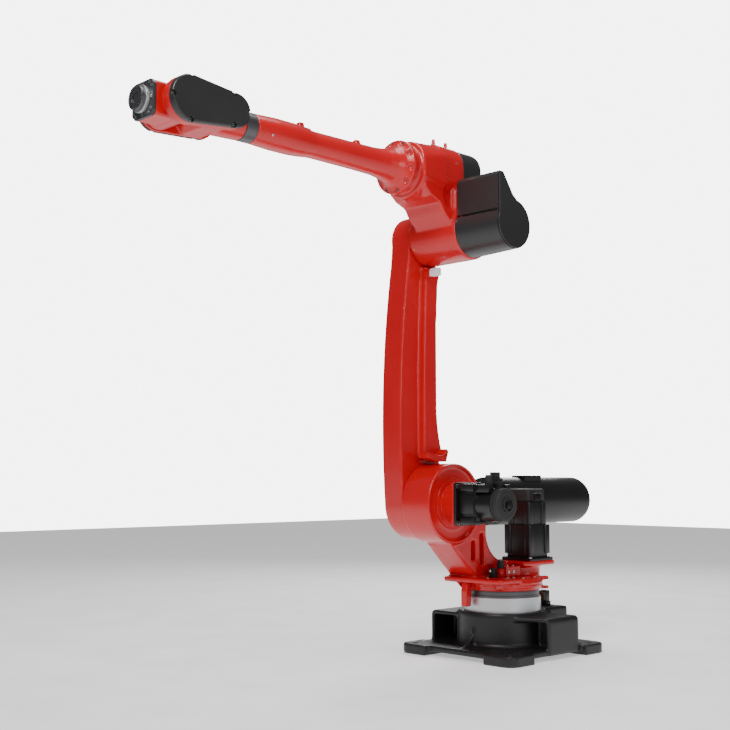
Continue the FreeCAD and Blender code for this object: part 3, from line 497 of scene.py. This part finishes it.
def _with(body: bpy.types.Object, additions: Shape) -> bpy.types.Object:
    """Put a shape into one mesh with a body; a new skin closes over both later.

    Args:
        body: the body, which is used up.
        additions: what is added.
    Returns:
        Both in one mesh.
    """
    extra = additions.object("additions")
    joined = bmesh.new()
    joined.from_mesh(body.data)
    joined.from_mesh(extra.data)
    data = bpy.data.meshes.new("joined")
    joined.to_mesh(data)
    joined.free()
    bpy.data.objects.remove(body)
    bpy.data.objects.remove(extra)
    return _new_object("joined_casting", data, None)


# ---------------- softened nodes

@dataclass
class Casting:
    """A CAD node given the soft edges of a painted casting.

    Args:
        node: the CAD node it stands for.
        finish: its paint.
        grain: cell size of the rebuilt skin.
        passes: how often the skin is relaxed.
        added: ribs, pads and bosses that belong to the casting.
        removed: pockets and holes taken out of it.
    """

    node: str
    finish: Finish
    grain: float = 5.0
    passes: int = 10
    added: Optional[Shape] = None
    removed: Optional[Shape] = None

    def make(self) -> bpy.types.Object:
        """Rebuild the node's skin and relax it.

        Returns:
            The softened casting.
        """
        body = _node_copy(self.node)
        if self.removed:
            body = _without(body, self.removed)
        if self.added:
            body = _with(body, self.added)
        remesh = body.modifiers.new("skin", "REMESH")
        remesh.mode = "VOXEL"
        remesh.voxel_size = self.grain * MM
        relax = body.modifiers.new("relax", "SMOOTH")
        relax.factor = 0.5
        relax.iterations = self.passes
        data = _settled(body)
        data.materials.clear()
        data.materials.append(self.finish.material())
        return _new_object(self.node + "_casting", data, None)


@dataclass
class Edged:
    """A machined or moulded CAD node with a fine round on its sharp edges.

    Args:
        node: the CAD node it stands for.
        finish: its finish.
        radius: radius of the round.
        removed: grooves and notches taken out of it.
    """

    node: str
    finish: Finish
    radius: float = 2.0
    removed: Optional[Shape] = None

    FLAT = math.radians(0.6)

    def make(self) -> bpy.types.Object:
        """Round the copy's edges and keep its faces flat.

        Returns:
            The rounded copy.
        """
        body = _node_copy(self.node)
        if self.removed:
            body = _without(body, self.removed)
        flat = body.modifiers.new("flat", "DECIMATE")
        flat.decimate_type = "DISSOLVE"
        flat.angle_limit = self.FLAT
        bevel = body.modifiers.new("edges", "BEVEL")
        bevel.width = self.radius * MM
        bevel.segments = 2
        bevel.limit_method = "ANGLE"
        bevel.angle_limit = math.radians(SMOOTH_ANGLE)
        weigh = body.modifiers.new("weigh", "WEIGHTED_NORMAL")
        weigh.mode = "FACE_AREA"
        weigh.weight = 100
        weigh.keep_sharp = True
        data = _settled(body)
        data.materials.clear()
        data.materials.append(self.finish.material())
        made = bpy.data.objects.new(self.node + "_edged", data)
        bpy.context.scene.collection.objects.link(made)
        return made


# ---------------- what repeats

class Repeater:
    """Screw heads from one Geometry Nodes group: a piece for each body and finish."""

    SIDES = 20
    HEAD_HEIGHT = 0.85
    SOCKET_SHARE = 0.56
    SOCKET_DEPTH = 0.5

    def __init__(self) -> None:
        """Start with no screws."""
        self.screws: dict[tuple[str, Finish], list[tuple[Vector, Vector, float]]] = {}
        self.tree: Optional[bpy.types.NodeTree] = None

    def screw(self, body: str, at: Point, axis: Point, radius: float, finish: Finish = SCREW) -> None:
        """Note one screw head.

        Args:
            body: the body it rides on.
            at: the middle of its seat.
            axis: the way its head faces.
            radius: the head's radius.
            finish: its finish.
        """
        places = self.screws.setdefault((body, finish), [])
        places.append((Vector(at) * MM, Vector(axis).normalized(), radius * MM))

    def ring(self, body: str, axis: Axis, centre: Flat, along: float, circle: float, count: int,
             radius: float, phase: float = 0.0, facing: float = 1.0) -> None:
        """Note a ring of screw heads round an axis.

        Args:
            body: the body they ride on.
            axis: the axis.
            centre: where the axis stands, in the drawing across it.
            along: where their seats lie along it.
            circle: radius of their circle.
            count: how many there are.
            radius: each head's radius.
            phase: the first one's angle in degrees.
            facing: 1 where the heads face along the axis, -1 where they face back.
        """
        for step in range(count):
            across, up = _on_circle(centre, circle, math.radians(phase) + math.tau * step / count)
            self.screw(body, axis.place(across, up, along), Vector(axis.value[0]) * facing, radius)

    def build(self) -> None:
        """Make the screws of each body into one piece."""
        self.tree = self.tree or self._group()
        for (body, finish), places in self.screws.items():
            name = "screws_%s_%s" % (body, finish.name)
            data = bpy.data.meshes.new(name)
            data.from_pydata([tuple(at) for at, _, _ in places], [], [])
            data.attributes.new("facing", "FLOAT_VECTOR", "POINT")
            data.attributes.new("reach", "FLOAT", "POINT")
            for index, (_, direction, radius) in enumerate(places):
                data.attributes["facing"].data[index].vector = direction
                data.attributes["reach"].data[index].value = radius
            seeds = bpy.data.objects.new(name, data)
            bpy.context.scene.collection.objects.link(seeds)
            field = seeds.modifiers.new("screws", "NODES")
            field.node_group = self.tree
            self._set(field, "Finish", finish.material())
            self._set(field, "Sides", self.SIDES)
            self._set(field, "Head height", self.HEAD_HEIGHT)
            self._set(field, "Socket share", self.SOCKET_SHARE)
            made = _new_object(name, _settled(seeds), SMOOTH_ANGLE)
            Assembly.hand_over(made, body, finish)
            LOG.info("piece %s screws %d", made.name, len(places))

    @staticmethod
    def _set(modifier: bpy.types.Modifier, name: str, value: object) -> None:
        """Set a named input of the group by its socket's identifier.

        Args:
            modifier: the modifier that runs the group.
            name: the input's name.
            value: its value.
        """
        for item in modifier.node_group.interface.items_tree:
            if getattr(item, "in_out", "") == "INPUT" and item.name == name:
                modifier[item.identifier] = value

    @staticmethod
    def _value(node: bpy.types.Node) -> bpy.types.NodeSocket:
        """Find a named attribute's output.

        Args:
            node: the node that reads the attribute.
        Returns:
            Its output of the type that is set.
        """
        return next(socket for socket in node.outputs if socket.name == "Attribute" and socket.enabled)

    @staticmethod
    def _group() -> bpy.types.NodeTree:
        """Make the group that sets a socket-head screw of radius one on each point.

        Returns:
            The group.
        """
        tree = bpy.data.node_groups.new("screw_field", "GeometryNodeTree")
        for name, kind in (("Points", "NodeSocketGeometry"), ("Sides", "NodeSocketInt"),
                           ("Head height", "NodeSocketFloat"), ("Socket share", "NodeSocketFloat"),
                           ("Finish", "NodeSocketMaterial")):
            tree.interface.new_socket(name, in_out="INPUT", socket_type=kind)
        tree.interface.new_socket("Screws", in_out="OUTPUT", socket_type="NodeSocketGeometry")
        make, link = tree.nodes.new, tree.links.new
        given, result = make("NodeGroupInput"), make("NodeGroupOutput")
        head = make("GeometryNodeMeshCylinder")
        head.inputs["Radius"].default_value = 1.0
        link(given.outputs["Sides"], head.inputs["Vertices"])
        link(given.outputs["Head height"], head.inputs["Depth"])
        rim = make("GeometryNodeExtrudeMesh")
        rim.inputs["Offset Scale"].default_value = 0.0
        rim.inputs["Individual"].default_value = False
        link(head.outputs["Mesh"], rim.inputs["Mesh"])
        link(head.outputs["Top"], rim.inputs["Selection"])
        share = make("GeometryNodeScaleElements")
        link(rim.outputs["Mesh"], share.inputs["Geometry"])
        link(rim.outputs["Top"], share.inputs["Selection"])
        link(given.outputs["Socket share"], share.inputs["Scale"])
        sink = make("GeometryNodeExtrudeMesh")
        sink.inputs["Offset Scale"].default_value = -Repeater.SOCKET_DEPTH
        sink.inputs["Individual"].default_value = False
        link(share.outputs["Geometry"], sink.inputs["Mesh"])
        link(rim.outputs["Top"], sink.inputs["Selection"])
        turn = make("FunctionNodeAlignRotationToVector")
        turn.axis = "Z"
        facing = make("GeometryNodeInputNamedAttribute")
        facing.data_type = "FLOAT_VECTOR"
        facing.inputs["Name"].default_value = "facing"
        reach = make("GeometryNodeInputNamedAttribute")
        reach.data_type = "FLOAT"
        reach.inputs["Name"].default_value = "reach"
        link(Repeater._value(facing), turn.inputs["Vector"])
        spread = make("GeometryNodeInstanceOnPoints")
        link(given.outputs["Points"], spread.inputs["Points"])
        link(sink.outputs["Mesh"], spread.inputs["Instance"])
        link(turn.outputs["Rotation"], spread.inputs["Rotation"])
        link(Repeater._value(reach), spread.inputs["Scale"])
        real = make("GeometryNodeRealizeInstances")
        paint = make("GeometryNodeSetMaterial")
        link(spread.outputs["Instances"], real.inputs["Geometry"])
        link(real.outputs["Geometry"], paint.inputs["Geometry"])
        link(given.outputs["Finish"], paint.inputs["Material"])
        link(paint.outputs["Geometry"], result.inputs["Screws"])
        return tree


# ---------------- sub-assemblies

@dataclass
class Assembly:
    """A sub-assembly that rides on one body.

    Args:
        screws: where its screws are noted.
        body: the body it rides on.
    """

    screws: Repeater
    body: str = "base"

    @staticmethod
    def hand_over(made: bpy.types.Object, body: str, finish: Finish) -> bpy.types.Object:
        """Let a piece ride on a body.

        Args:
            made: the piece.
            body: the body.
            finish: its main finish; not used.
        Returns:
            The piece.
        """
        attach(made, body)
        return made

    def keep(self, made: bpy.types.Object, finish: Finish, *nodes: str) -> bpy.types.Object:
        """Hand a piece over, in place of any CAD nodes named.

        Args:
            made: the piece.
            finish: its main finish.
            *nodes: the nodes it stands for.
        Returns:
            The piece.
        """
        self.hand_over(made, self.body, finish)
        if nodes:
            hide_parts(*nodes)
        LOG.info("piece %s body %s faces %d", made.name, self.body, len(made.data.polygons))
        return made

    def bolt(self, at: Point, axis: Point, radius: float, finish: Finish = SCREW) -> None:
        """Note one screw head on this body, with its seat, the way it faces and its radius."""
        self.screws.screw(self.body, at, axis, radius, finish)

    def cast(self, *castings: Casting) -> None:
        """Make and keep softened castings."""
        for casting in castings:
            self.keep(casting.make(), casting.finish, casting.node)

    def edge(self, finish: Finish, radius: float, *nodes: str) -> None:
        """Make and keep rounded copies of plain nodes.

        Args:
            finish: their finish.
            radius: radius of the round.
            *nodes: the nodes.
        """
        for node in nodes:
            self.keep(Edged(node, finish, radius).make(), finish, node)


@dataclass
class Base(Assembly):
    """Black foot casting, bright ring, dark seal, stop and cable panel."""

    body: str = "base"
    ring_radius: float = 196.0
    ring_low: float = 212.0
    ring_high: float = 290.0
    seal_radius: float = 190.0
    seal_high: float = 321.7
    bore: float = 110.0

    def build(self) -> None:
        """Make the base."""
        ribs = Shape()
        ribs.turned(BASE_BLACK, Axis.Z, (0, 0), ((205, 214), (205, 226), (219, 222), (219, 214)), 96)
        self.cast(Casting("base_casting", BASE_BLACK, 6.0, 8, added=ribs))
        ring = Shape().turned(STEEL, Axis.Z, (0, 0), (
            (self.ring_low, self.bore), (self.ring_low, self.ring_radius - 1),
            (self.ring_low + 1, self.ring_radius), (self.ring_high - 2, self.ring_radius),
            (self.ring_high, self.ring_radius - 2), (self.ring_high, self.bore)), 128)
        self.keep(ring.object("gear_ring"), STEEL, "bearing_ring")
        seal = Shape().turned(DARK_STEEL, Axis.Z, (0, 0), (
            (self.ring_high, self.bore), (self.ring_high, self.seal_radius),
            (self.ring_high + 9, self.seal_radius),
            (self.ring_high + 11, self.seal_radius - 3), (self.seal_high - 4, self.seal_radius - 3),
            (self.seal_high - 2, self.seal_radius), (self.seal_high, self.seal_radius),
            (self.seal_high, self.bore)), 128)
        self.keep(seal.object("seal_ring"), DARK_STEEL, "seal_band")
        stop = Shape()
        stop.block(BASE_BLACK, (-316, 19, 222), (-272, 71, 240), 2)
        stop.block(BASE_BLACK, (-314, 24, 238), (-274, 66, 296), 3)
        self.keep(stop.object("stop_post"), BASE_BLACK, "base_stop")
        self.edge(RUBBER, 3.0, "base_stop_pad")
        for y in (34, 56):
            self.bolt((-295, y, 296), (0, 0, 1), 6)
        self.edge(STEEL, 1.0, "connector_panel")
        self.edge(PLASTIC, 4.0, "power_connector", "signal_connector")
        for y in (-100, 100):
            for z in (84, 188):
                self.bolt((-341, y, z), (-1, 0, 0), 5)


@dataclass
class Turret(Assembly):
    """Red turntable with its deck, leaning strut, drum and fittings."""

    body: str = "turret"
    drum_centre: Flat = SHOULDER

    def build(self) -> None:
        """Make the turret."""
        ribs = Shape()
        for low, high, reach in ((-112, -94, 236), (10, 26, 240), (112, 128, 226)):
            outline = ((150, 370), (reach, 370), (reach - 14, 352), (196, 330), (150, 330))
            ribs.prism(RED, Axis.Y, outline, low, high, 1)
        for low, high in ((322, 336), (368, 385)):
            ribs.prism(RED, Axis.Z, ((-154, 116), (-124, 144), (-156, 182), (-188, 152)), low, high, 1)
        x, z = self.drum_centre
        ribs.turned(RED, Axis.Y, (x, z), ((-13, 124), (-13, 132), (-8, 132), (-8, 124)), 96, 1)
        ribs.turned(RED, Axis.Y, (x, z), ((-13, 84), (-13, 112), (-6, 112), (-6, 84)), 96, 1)
        ribs.prism(RED, Axis.Y, ((x - 20, z - 190), (x + 8, z - 190), (x + 8, z - 216), (x - 6, z - 216)),
                   -168, -132, 3)
        self.cast(Casting("turret_casting", RED, 5.0, 8, added=ribs),
                  Casting("turn_stop_finger", RED, 3.5, 5))
        self.edge(RED, 4.0, "balancer_bracket", "shoulder_motor_mount", "switch_mount")
        switch = Shape()
        switch.block(RED, (75, 49, 386), (106, 82, 430), 3)
        switch.block(PLASTIC, (78, 50, 430), (104, 80, 468), 3)
        switch.block(DARK_STEEL, (82, 54, 466), (100, 76, 476), 1)
        switch.block(PLASTIC, (98, 26, 386), (138, 56, 432), 3)
        switch.rod(SCREW, Axis.X, (40, 420), 8, 136, 146, 20, 1)
        self.keep(switch.object("limit_switches"), PLASTIC, "limit_switch")
        for at, axis, radius in (((52, 116, 386), (0, 0, 1), 9), ((92, 112, 386), (0, 0, 1), 9),
                                 ((46, 72, 440), (0, 0, 1), 7), ((0, 72, 440), (0, 0, 1), 7),
                                 ((60, 92, 412), (0, 1, 0), 7), ((22, 92, 412), (0, 1, 0), 7)):
            self.bolt(at, axis, radius)
        self.screws.ring(self.body, Axis.Z, (0, 0), 386, 178, 12, 7, 15)
        self.bolt((x + 132, -85, z + 148), (0.66, 0, 0.75), 5, BRASS)


@dataclass
class ShoulderMotor(Assembly):
    """The shoulder motor: square flange, railed body, round barrel, dark cap and plugs."""

    body: str = "turret"
    centre: Flat = SHOULDER
    flange_half: float = 105.0
    body_half: float = 99.0
    barrel: float = 84.0

    def build(self) -> None:
        """Make the motor."""
        x, z = self.centre
        half, rail, core, round_end = self.flange_half, self.body_half, self.barrel - 4, self.barrel
        motor = Shape()
        motor.block(BLACK, (x - half, 87, z - half), (x + half, 101, z + half), 2, 16, Axis.Y)
        motor.block(BLACK, (x - core, 100, z - core), (x + core, 206, z + core), 2, 12, Axis.Y)
        for sx in SIGNS:
            for sz in SIGNS:
                across, up = sorted((x + sx * 56, x + sx * rail)), sorted((z + sz * 60, z + sz * rail))
                motor.block(BLACK, (across[0], 122, up[0]), (across[1], 205, up[1]), 3, 12, Axis.Y)
                self.bolt((x + sx * 88, 101, z + sz * 88), (0, 1, 0), 11)
                self.bolt((x + sx * 78, 205, z + sz * 80), (0, 1, 0), 8, PLASTIC)
            side = sorted((x + sx * (core - 2), x + sx * (core + 7)))
            motor.block(BLACK, (side[0], 108, z - 46), (side[1], 198, z + 46), 3)
            deck = sorted((z + sx * (core - 2), z + sx * (core + 7)))
            motor.block(BLACK, (x - 46, 108, deck[0]), (x + 46, 198, deck[1]), 3)
        motor.turned(BLACK, Axis.Y, (x, z), ((204, 0), (204, round_end - 1), (290, round_end - 1),
                                             (292, round_end - 3), (292, 0)), 72)
        for low, high in ((-84, -48), (48, 84)):
            motor.block(BLACK, (x + low, 200, z + 58), (x + high, 288, z + rail - 4), 3)
        motor.block(BLACK, (x - 30, 200, z - rail + 6), (x + 30, 232, z - 60), 3)
        self.keep(motor.object("shoulder_motor_body"), BLACK, "shoulder_motor")
        cap = Shape()
        cap.turned(PLASTIC, Axis.Y, (x, z), ((291, 0), (291, 78), (303, 78), (305, 75), (308, 75), (310, 78),
                                             (328, 78), (336, 72), (339, 62), (339, 0)), 72)
        button = ((336, 0), (336, 34), (348, 34), (350, 30), (342, 28), (342, 0))
        cap.turned(PLASTIC, Axis.Y, (x + 6, z - 2), button, 40)
        for step in range(5):
            cap.block(BLACK, (x - 10 + 7 * step, 340, z - 16), (x - 6 + 7 * step, 352, z + 14), 1)
        self.keep(cap.object("shoulder_motor_end"), PLASTIC, "shoulder_motor_cap")
        plugs = Shape()
        plugs.block(PLASTIC, (x - 62, 206, z + 80), (x - 22, 272, z + 112), 3)
        plugs.block(PLASTIC, (x - 60, 208, z + 110), (x - 24, 246, z + 155), 3)
        plugs.block(PLASTIC, (x - 56, 244, z + 110), (x - 28, 262, z + 126), 2)
        plugs.rod(PLASTIC, Axis.Z, (x + 34, 250), 19, z + 76, z + 134, 32, 2)
        plugs.rod(DARK_STEEL, Axis.Z, (x + 34, 250), 15, z + 132, z + 142, 32, 1)
        self.keep(plugs.object("shoulder_motor_connectors"), PLASTIC, "shoulder_motor_plugs")


@dataclass
class TurningMotor(Assembly):
    """The upright motor behind the strut."""

    body: str = "turret"
    centre: Flat = (-205.0, 6.0)
    flange_half: float = 97.5
    body_half: float = 86.5
    upper_half: float = 73.5

    def build(self) -> None:
        """Make the motor."""
        x, y = self.centre
        motor = Shape()
        half = self.flange_half
        motor.block(BLACK, (x - half, y - half, 458), (x + half, y + half, 472), 2, 10)
        motor.block(BLACK, (x - 78, y - 78, 470), (x + 78, y + 78, 642), 2, 12)
        motor.block(BLACK, (x - 67, y - 67, 640), (x + 67, y + 67, 765), 2, 14)
        for sx in SIGNS:
            for sy in SIGNS:
                self._rail(motor, sx, sy, 46, self.body_half, 492, 642)
                self._rail(motor, sx, sy, 36, self.upper_half, 640, 764)
                self.bolt((x + sx * 84, y + sy * 84, 472), (0, 0, 1), 10)
        self.keep(motor.object("turning_motor_body"), BLACK, "turning_motor")
        cap = Shape()
        upper = self.upper_half - 2
        cap.block(PLASTIC, (x - upper, y - upper, 764), (x + upper, y + upper, 830), 12, 22)
        self.keep(cap.object("turning_motor_end"), PLASTIC, "turning_motor_cap")
        plug = Shape()
        plug.block(PLASTIC, (x + 6, y + 70, 768), (x + 60, y + 89, 808), 2)
        for step in range(6):
            plug.block(BLACK, (x + 8 + 9 * step, y + 87, 769), (x + 12 + 9 * step, y + 101, 807), 1)
        self.keep(plug.object("turning_motor_connector"), PLASTIC, "turning_motor_plug")

    def _rail(self, motor: Shape, sx: int, sy: int, inner: float, outer: float, low: float,
              high: float) -> None:
        """Add one upright corner rail.

        Args:
            motor: the shape it is added to.
            sx: its side in x, 1 or -1.
            sy: its side in y.
            inner: where it starts, out from the motor's axis.
            outer: where it ends.
            low: its lower end.
            high: its upper end.
        """
        x, y = self.centre
        corner = [sorted((x + sx * inner, x + sx * outer)), sorted((y + sy * inner, y + sy * outer))]
        motor.block(BLACK, (corner[0][0], corner[1][0], low), (corner[0][1], corner[1][1], high), 3, 9)


@dataclass
class Balancer(Assembly):
    """Black spring cylinder with its head, lug and rod."""

    body: str = "balancer"

    def build(self) -> None:
        """Make the balancer and its rod."""
        barrel = Shape().turned(BLACK, Axis.X, BALANCER_AXIS, (
            (-1013, 0), (-1013, 42), (-1010, 69), (-1002, 90), (-988, 108), (-970, 122), (-951, 129),
            (-930, 130),
            (-152, 130), (-150, 129), (-150, 58), (-600, 58), (-600, 0)), 96)
        self.keep(barrel.object("balancer_barrel"), BLACK, "balancer_cylinder")
        self.edge(BLACK, 4.0, "balancer_head")
        self.edge(BLACK, 2.5, "balancer_lug")
        for y in (-320, -172):
            for z in (690, 830):
                self.bolt((-104, y, z), (1, 0, 0), 11)
        rod = self.hand_over(Edged("balancer_rod", DARK_STEEL).make(), "balancer_rod", DARK_STEEL)
        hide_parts("balancer_rod")


@dataclass
class LowerArm(Assembly):
    """The upright red casting with its covers and brackets."""

    body: str = "lower_arm"

    def build(self) -> None:
        """Make the lower arm."""
        self.cast(Casting("arm_casting", RED, 6.0, 8))
        self.edge(RED, 3.0, "shoulder_cover", "elbow_cover")
        self.edge(STEEL, 1.5, "rod_pin")
        self.cast(Casting("elbow_stop_bracket", RED, 3.0, 4), Casting("arm_saddle_bracket", RED, 3.0, 4))
        self.edge(WHITE, 3.0, "elbow_stop_bumper")
        self.screws.ring(self.body, Axis.Y, SHOULDER, -329, 128, 12, 8, 0, -1)
        self.screws.ring(self.body, Axis.Y, ELBOW, -329, 86, 8, 7, 0, -1)
        self.bolt((ELBOW[0] + 118, -150, ELBOW[1] - 62), (0, 1, 0), 8, BRASS)
        self.bolt((415, -70, 1932), (0, 1, 0), 6)


@dataclass
class Elbow(Assembly):
    """Red elbow casting and the black covers over its motors."""

    body: str = "forearm"

    def build(self) -> None:
        """Make the elbow."""
        pocket = Shape().prism(RED, Axis.Y, ((492, 2196), (532, 2208), (560, 2262), (556, 2306), (492, 2312)),
                               110, 140)
        groove = Shape().prism(COVER, Axis.Y, ((466, 2160), (500, 2160), (500, 2172), (466, 2172)), 120, 388)
        ribs = Shape()
        ribs.turned(RED, Axis.Y, ELBOW, ((118, 120), (118, 136), (134, 136), (134, 120)), 96, 1)
        self.cast(Casting("elbow_casting", RED, 5.0, 24, added=ribs, removed=pocket))
        self.cast(Casting("forearm_motor_cover", COVER, 5.0, 6))
        self.keep(Edged("elbow_motor_cover", COVER, 4.0, removed=groove).make(), COVER, "elbow_motor_cover")
        self.bolt((466, 152, 2166), (1, 0, 0), 6)
        self.edge(COVER, 2.5, "elbow_motor_cover_plate")
        self.bolt((560, 128, 2322), (0, 1, 0), 8)
        self.bolt((470, 128, 2440), (0, 1, 0), 7)


@dataclass
class Forearm(Assembly):
    """The long tube behind the wrist, with its bolted bell."""

    body: str = "forearm"
    axis_height: float = FOREARM_HEIGHT
    bolt_circle: float = 118.0
    bolts: int = 10

    def build(self) -> None:
        """Make the tube."""
        pockets, tabs = Shape(), Shape()
        for step in range(self.bolts):
            angle = math.radians(-10 + 360 / self.bolts * step)
            centre = _on_circle((0.0, self.axis_height), self.bolt_circle, angle)
            pockets.rod(RED, Axis.X, centre, 15, 780.5, 840, 24)
        for x, high in ((1389, 2474), (1041, 2466)):
            tabs.block(RED, (x - 16, -14, 2440), (x + 12, 14, high), 2)
        tabs.block(RED, (1330, -10, 2380), (1420, 10, 2458), 2)
        self.cast(Casting("forearm_tube", RED, 4.0, 7, added=tabs, removed=pockets))
        self.screws.ring(self.body, Axis.X, (0, self.axis_height), 779, self.bolt_circle, self.bolts, 9, -10)
        self.bolt((1600, 65, 2358), (0, 0.92, -0.39), 5)


@dataclass
class Wrist(Assembly):
    """Red yoke with its two black belt covers."""

    body: str = "wrist"
    turn: Flat = (2088.0, FOREARM_HEIGHT)
    rear: Flat = (1866.0, FOREARM_HEIGHT)
    notch_radius: float = 11.0
    notch_reach: float = 26.0

    def build(self) -> None:
        """Make the wrist."""
        self.edge(DARK_STEEL, 1.5, "wrist_band")
        self.cast(Casting("wrist_yoke", RED, 4.0, 8))
        self._cover("wrist_cover_left", 88.0, 64.0, 164.0, 1)
        self._cover("wrist_cover_right", 72.0, 58.0, -127.0, -1)

    def _cover(self, node: str, big: float, small: float, face: float, sign: int) -> None:
        """Make one cover with an open notch and a screw at each fixing.

        Args:
            node: the cover's CAD node.
            big: radius of the fixings round the tilt axis.
            small: radius of the fixings round its rear end.
            face: where its outer face lies in y.
            sign: 1 on the left, -1 on the right.
        """
        notches = Shape()
        seat = face - sign * 15
        low, high = sorted((seat, face + sign * 10))
        for centre, radius, angles in ((self.turn, big, (0, 88, -88)), (self.rear, small, (78, -78, 180))):
            for angle in angles:
                heading = math.radians(angle)
                at = _on_circle(centre, radius, heading)
                notches.prism(COVER, Axis.Y, self._notch(at, heading), low, high)
                self.bolt((at[0], seat, at[1]), (0, sign, 0), 7)
        self.keep(Edged(node, COVER, 2.0, removed=notches).make(), COVER, node)

    def _notch(self, at: Flat, heading: float) -> list[Flat]:
        """Draw a notch that is round at the screw and open outwards.

        Args:
            at: the screw's place.
            heading: the way out, as an angle.
        Returns:
            The notch's outline.
        """
        outline = [_on_circle(at, self.notch_radius, heading + math.pi / 2 + math.pi * step / 8)
                   for step in range(9)]
        mouth = _on_circle(at, self.notch_reach, heading)
        for side in SIGNS:
            outline.append(_on_circle(mouth, self.notch_radius, heading + side * math.pi / 2))
        return outline


@dataclass
class Tool(Assembly):
    """Tilting housing, grey front plate, bright ring and tool flange."""

    body: str = "wrist_tilt"
    axis_height: float = FOREARM_HEIGHT
    front: float = 2216.0
    plate_screw: float = 5.5
    flange_circle: float = 44.0

    def build(self) -> None:
        """Make the end of the arm."""
        self.cast(Casting("wrist_tilt_housing", RED, 4.0, 8))
        self.edge(GREY, 2.0, "wrist_front_plate")
        for sy in SIGNS:
            for sz in SIGNS:
                self.bolt((self.front, sy * 62, self.axis_height + sz * 46), (1, 0, 0), self.plate_screw)
                self.bolt((self.front, sy * 46, self.axis_height + sz * 62), (1, 0, 0), self.plate_screw)
            self.bolt((self.front, sy * 64, self.axis_height), (1, 0, 0), self.plate_screw)
        for sz in SIGNS:
            self.bolt((self.front, 0, self.axis_height + sz * 65), (1, 0, 0), self.plate_screw)
        self.body = "tool"
        self.edge(STEEL, 1.5, "flange_ring")
        self.edge(DARK_STEEL, 1.2, "tool_flange")
        for step in range(16):
            angle = 11.25 + 22.5 * step
            if abs(angle % 90 - 45) > 12:
                y, z = _on_circle((0.0, self.axis_height), self.flange_circle, math.radians(angle))
                self.bolt((2251, y, z), (1, 0, 0), 2.6)


# ---------------- setting

@dataclass
class Studio:
    """Pale floor, soft light and the camera."""

    floor_half: float = 14000.0
    floor_glow: float = 0.5
    sky_light: float = 0.16
    sky_seen: float = 6.0
    focal: float = 56.46
    eye: tuple[float, float, float] = (4.6646, 3.7997, 0.8899)
    right: tuple[float, float, float] = (-0.7181, 0.6959, 0.0)
    up: tuple[float, float, float] = (0.0679, 0.0701, 0.9952)
    ahead: tuple[float, float, float] = (-0.6926, -0.7147, 0.0976)

    def build(self) -> None:
        """Make the setting."""
        self._floor()
        self._sky()
        self._lamp("key", (4.5, 1.5, 5.2), (0.5, 0, 1.4), 2.6, 190)
        self._lamp("fill", (1.0, 6.0, 2.6), (0.4, 0, 1.2), 2.6, 60)
        self._lamp("back", (-3.5, -3.0, 4.0), (0.2, 0, 1.6), 2.4, 170)
        self._lamp("top", (0.8, 0.3, 5.6), (0.8, 0, 0), 2.6, 90)
        self._camera()

    def _floor(self) -> None:
        """Lay the floor just under the feet."""
        half = self.floor_half
        outline = ((-half, -half), (half, -half), (half, half), (-half, half))
        floor = Shape().prism(Finish("pale_floor", (0.93, 0.93, 0.93), 0.8), Axis.Z, outline, -20, -0.5)
        ground = floor.object("floor")
        shader = ground.data.materials[0].node_tree.nodes["Principled BSDF"]
        shader.inputs["Emission Color"].default_value = (1.0, 1.0, 1.0, 1.0)
        shader.inputs["Emission Strength"].default_value = self.floor_glow

    def _sky(self) -> None:
        """Make the world, which lights softly and is pale where the camera sees it."""
        world = bpy.data.worlds.new("studio")
        world.use_nodes = True
        tree = world.node_tree
        tree.nodes["Background"].inputs["Color"].default_value = (1.0, 1.0, 1.0, 1.0)
        seen = tree.nodes.new("ShaderNodeLightPath")
        strength = tree.nodes.new("ShaderNodeMapRange")
        strength.inputs["To Min"].default_value = self.sky_light
        strength.inputs["To Max"].default_value = self.sky_seen
        tree.links.new(seen.outputs["Is Camera Ray"], strength.inputs["Value"])
        tree.links.new(strength.outputs["Result"], tree.nodes["Background"].inputs["Strength"])
        bpy.context.scene.world = world

    @staticmethod
    def _lamp(name: str, at: Point, towards: Point, size: float, power: float) -> None:
        """Hang a round lamp.

        Args:
            name: its name.
            at: its place in metres.
            towards: the point it shines at.
            size: its width in metres.
            power: its power in watts.
        """
        data = bpy.data.lights.new(name, "AREA")
        data.shape = "DISK"
        data.size = size
        data.energy = power
        lamp = bpy.data.objects.new(name, data)
        lamp.location = at
        lamp.rotation_euler = (Vector(towards) - Vector(at)).to_track_quat("-Z", "Y").to_euler()
        bpy.context.scene.collection.objects.link(lamp)

    def _camera(self) -> None:
        """Set the camera up."""
        data = bpy.data.cameras.new("camera")
        data.lens = self.focal
        data.sensor_width = 36.0
        camera = bpy.data.objects.new("camera", data)
        turn = Matrix((self.right, self.up, -Vector(self.ahead))).transposed().to_4x4()
        turn.translation = Vector(self.eye)
        camera.matrix_world = turn
        bpy.context.scene.collection.objects.link(camera)
        bpy.context.scene.camera = camera


def main() -> None:
    """Build every sub-assembly in order, then the setting."""
    logging.basicConfig(level=logging.INFO, stream=sys.stdout, format="%(message)s")
    screws = Repeater()
    for kind in (Base, Turret, ShoulderMotor, TurningMotor, Balancer, LowerArm, Elbow, Forearm, Wrist, Tool):
        kind(screws).build()
    screws.build()
    Studio().build()


if __name__ == "__main__":
    main()
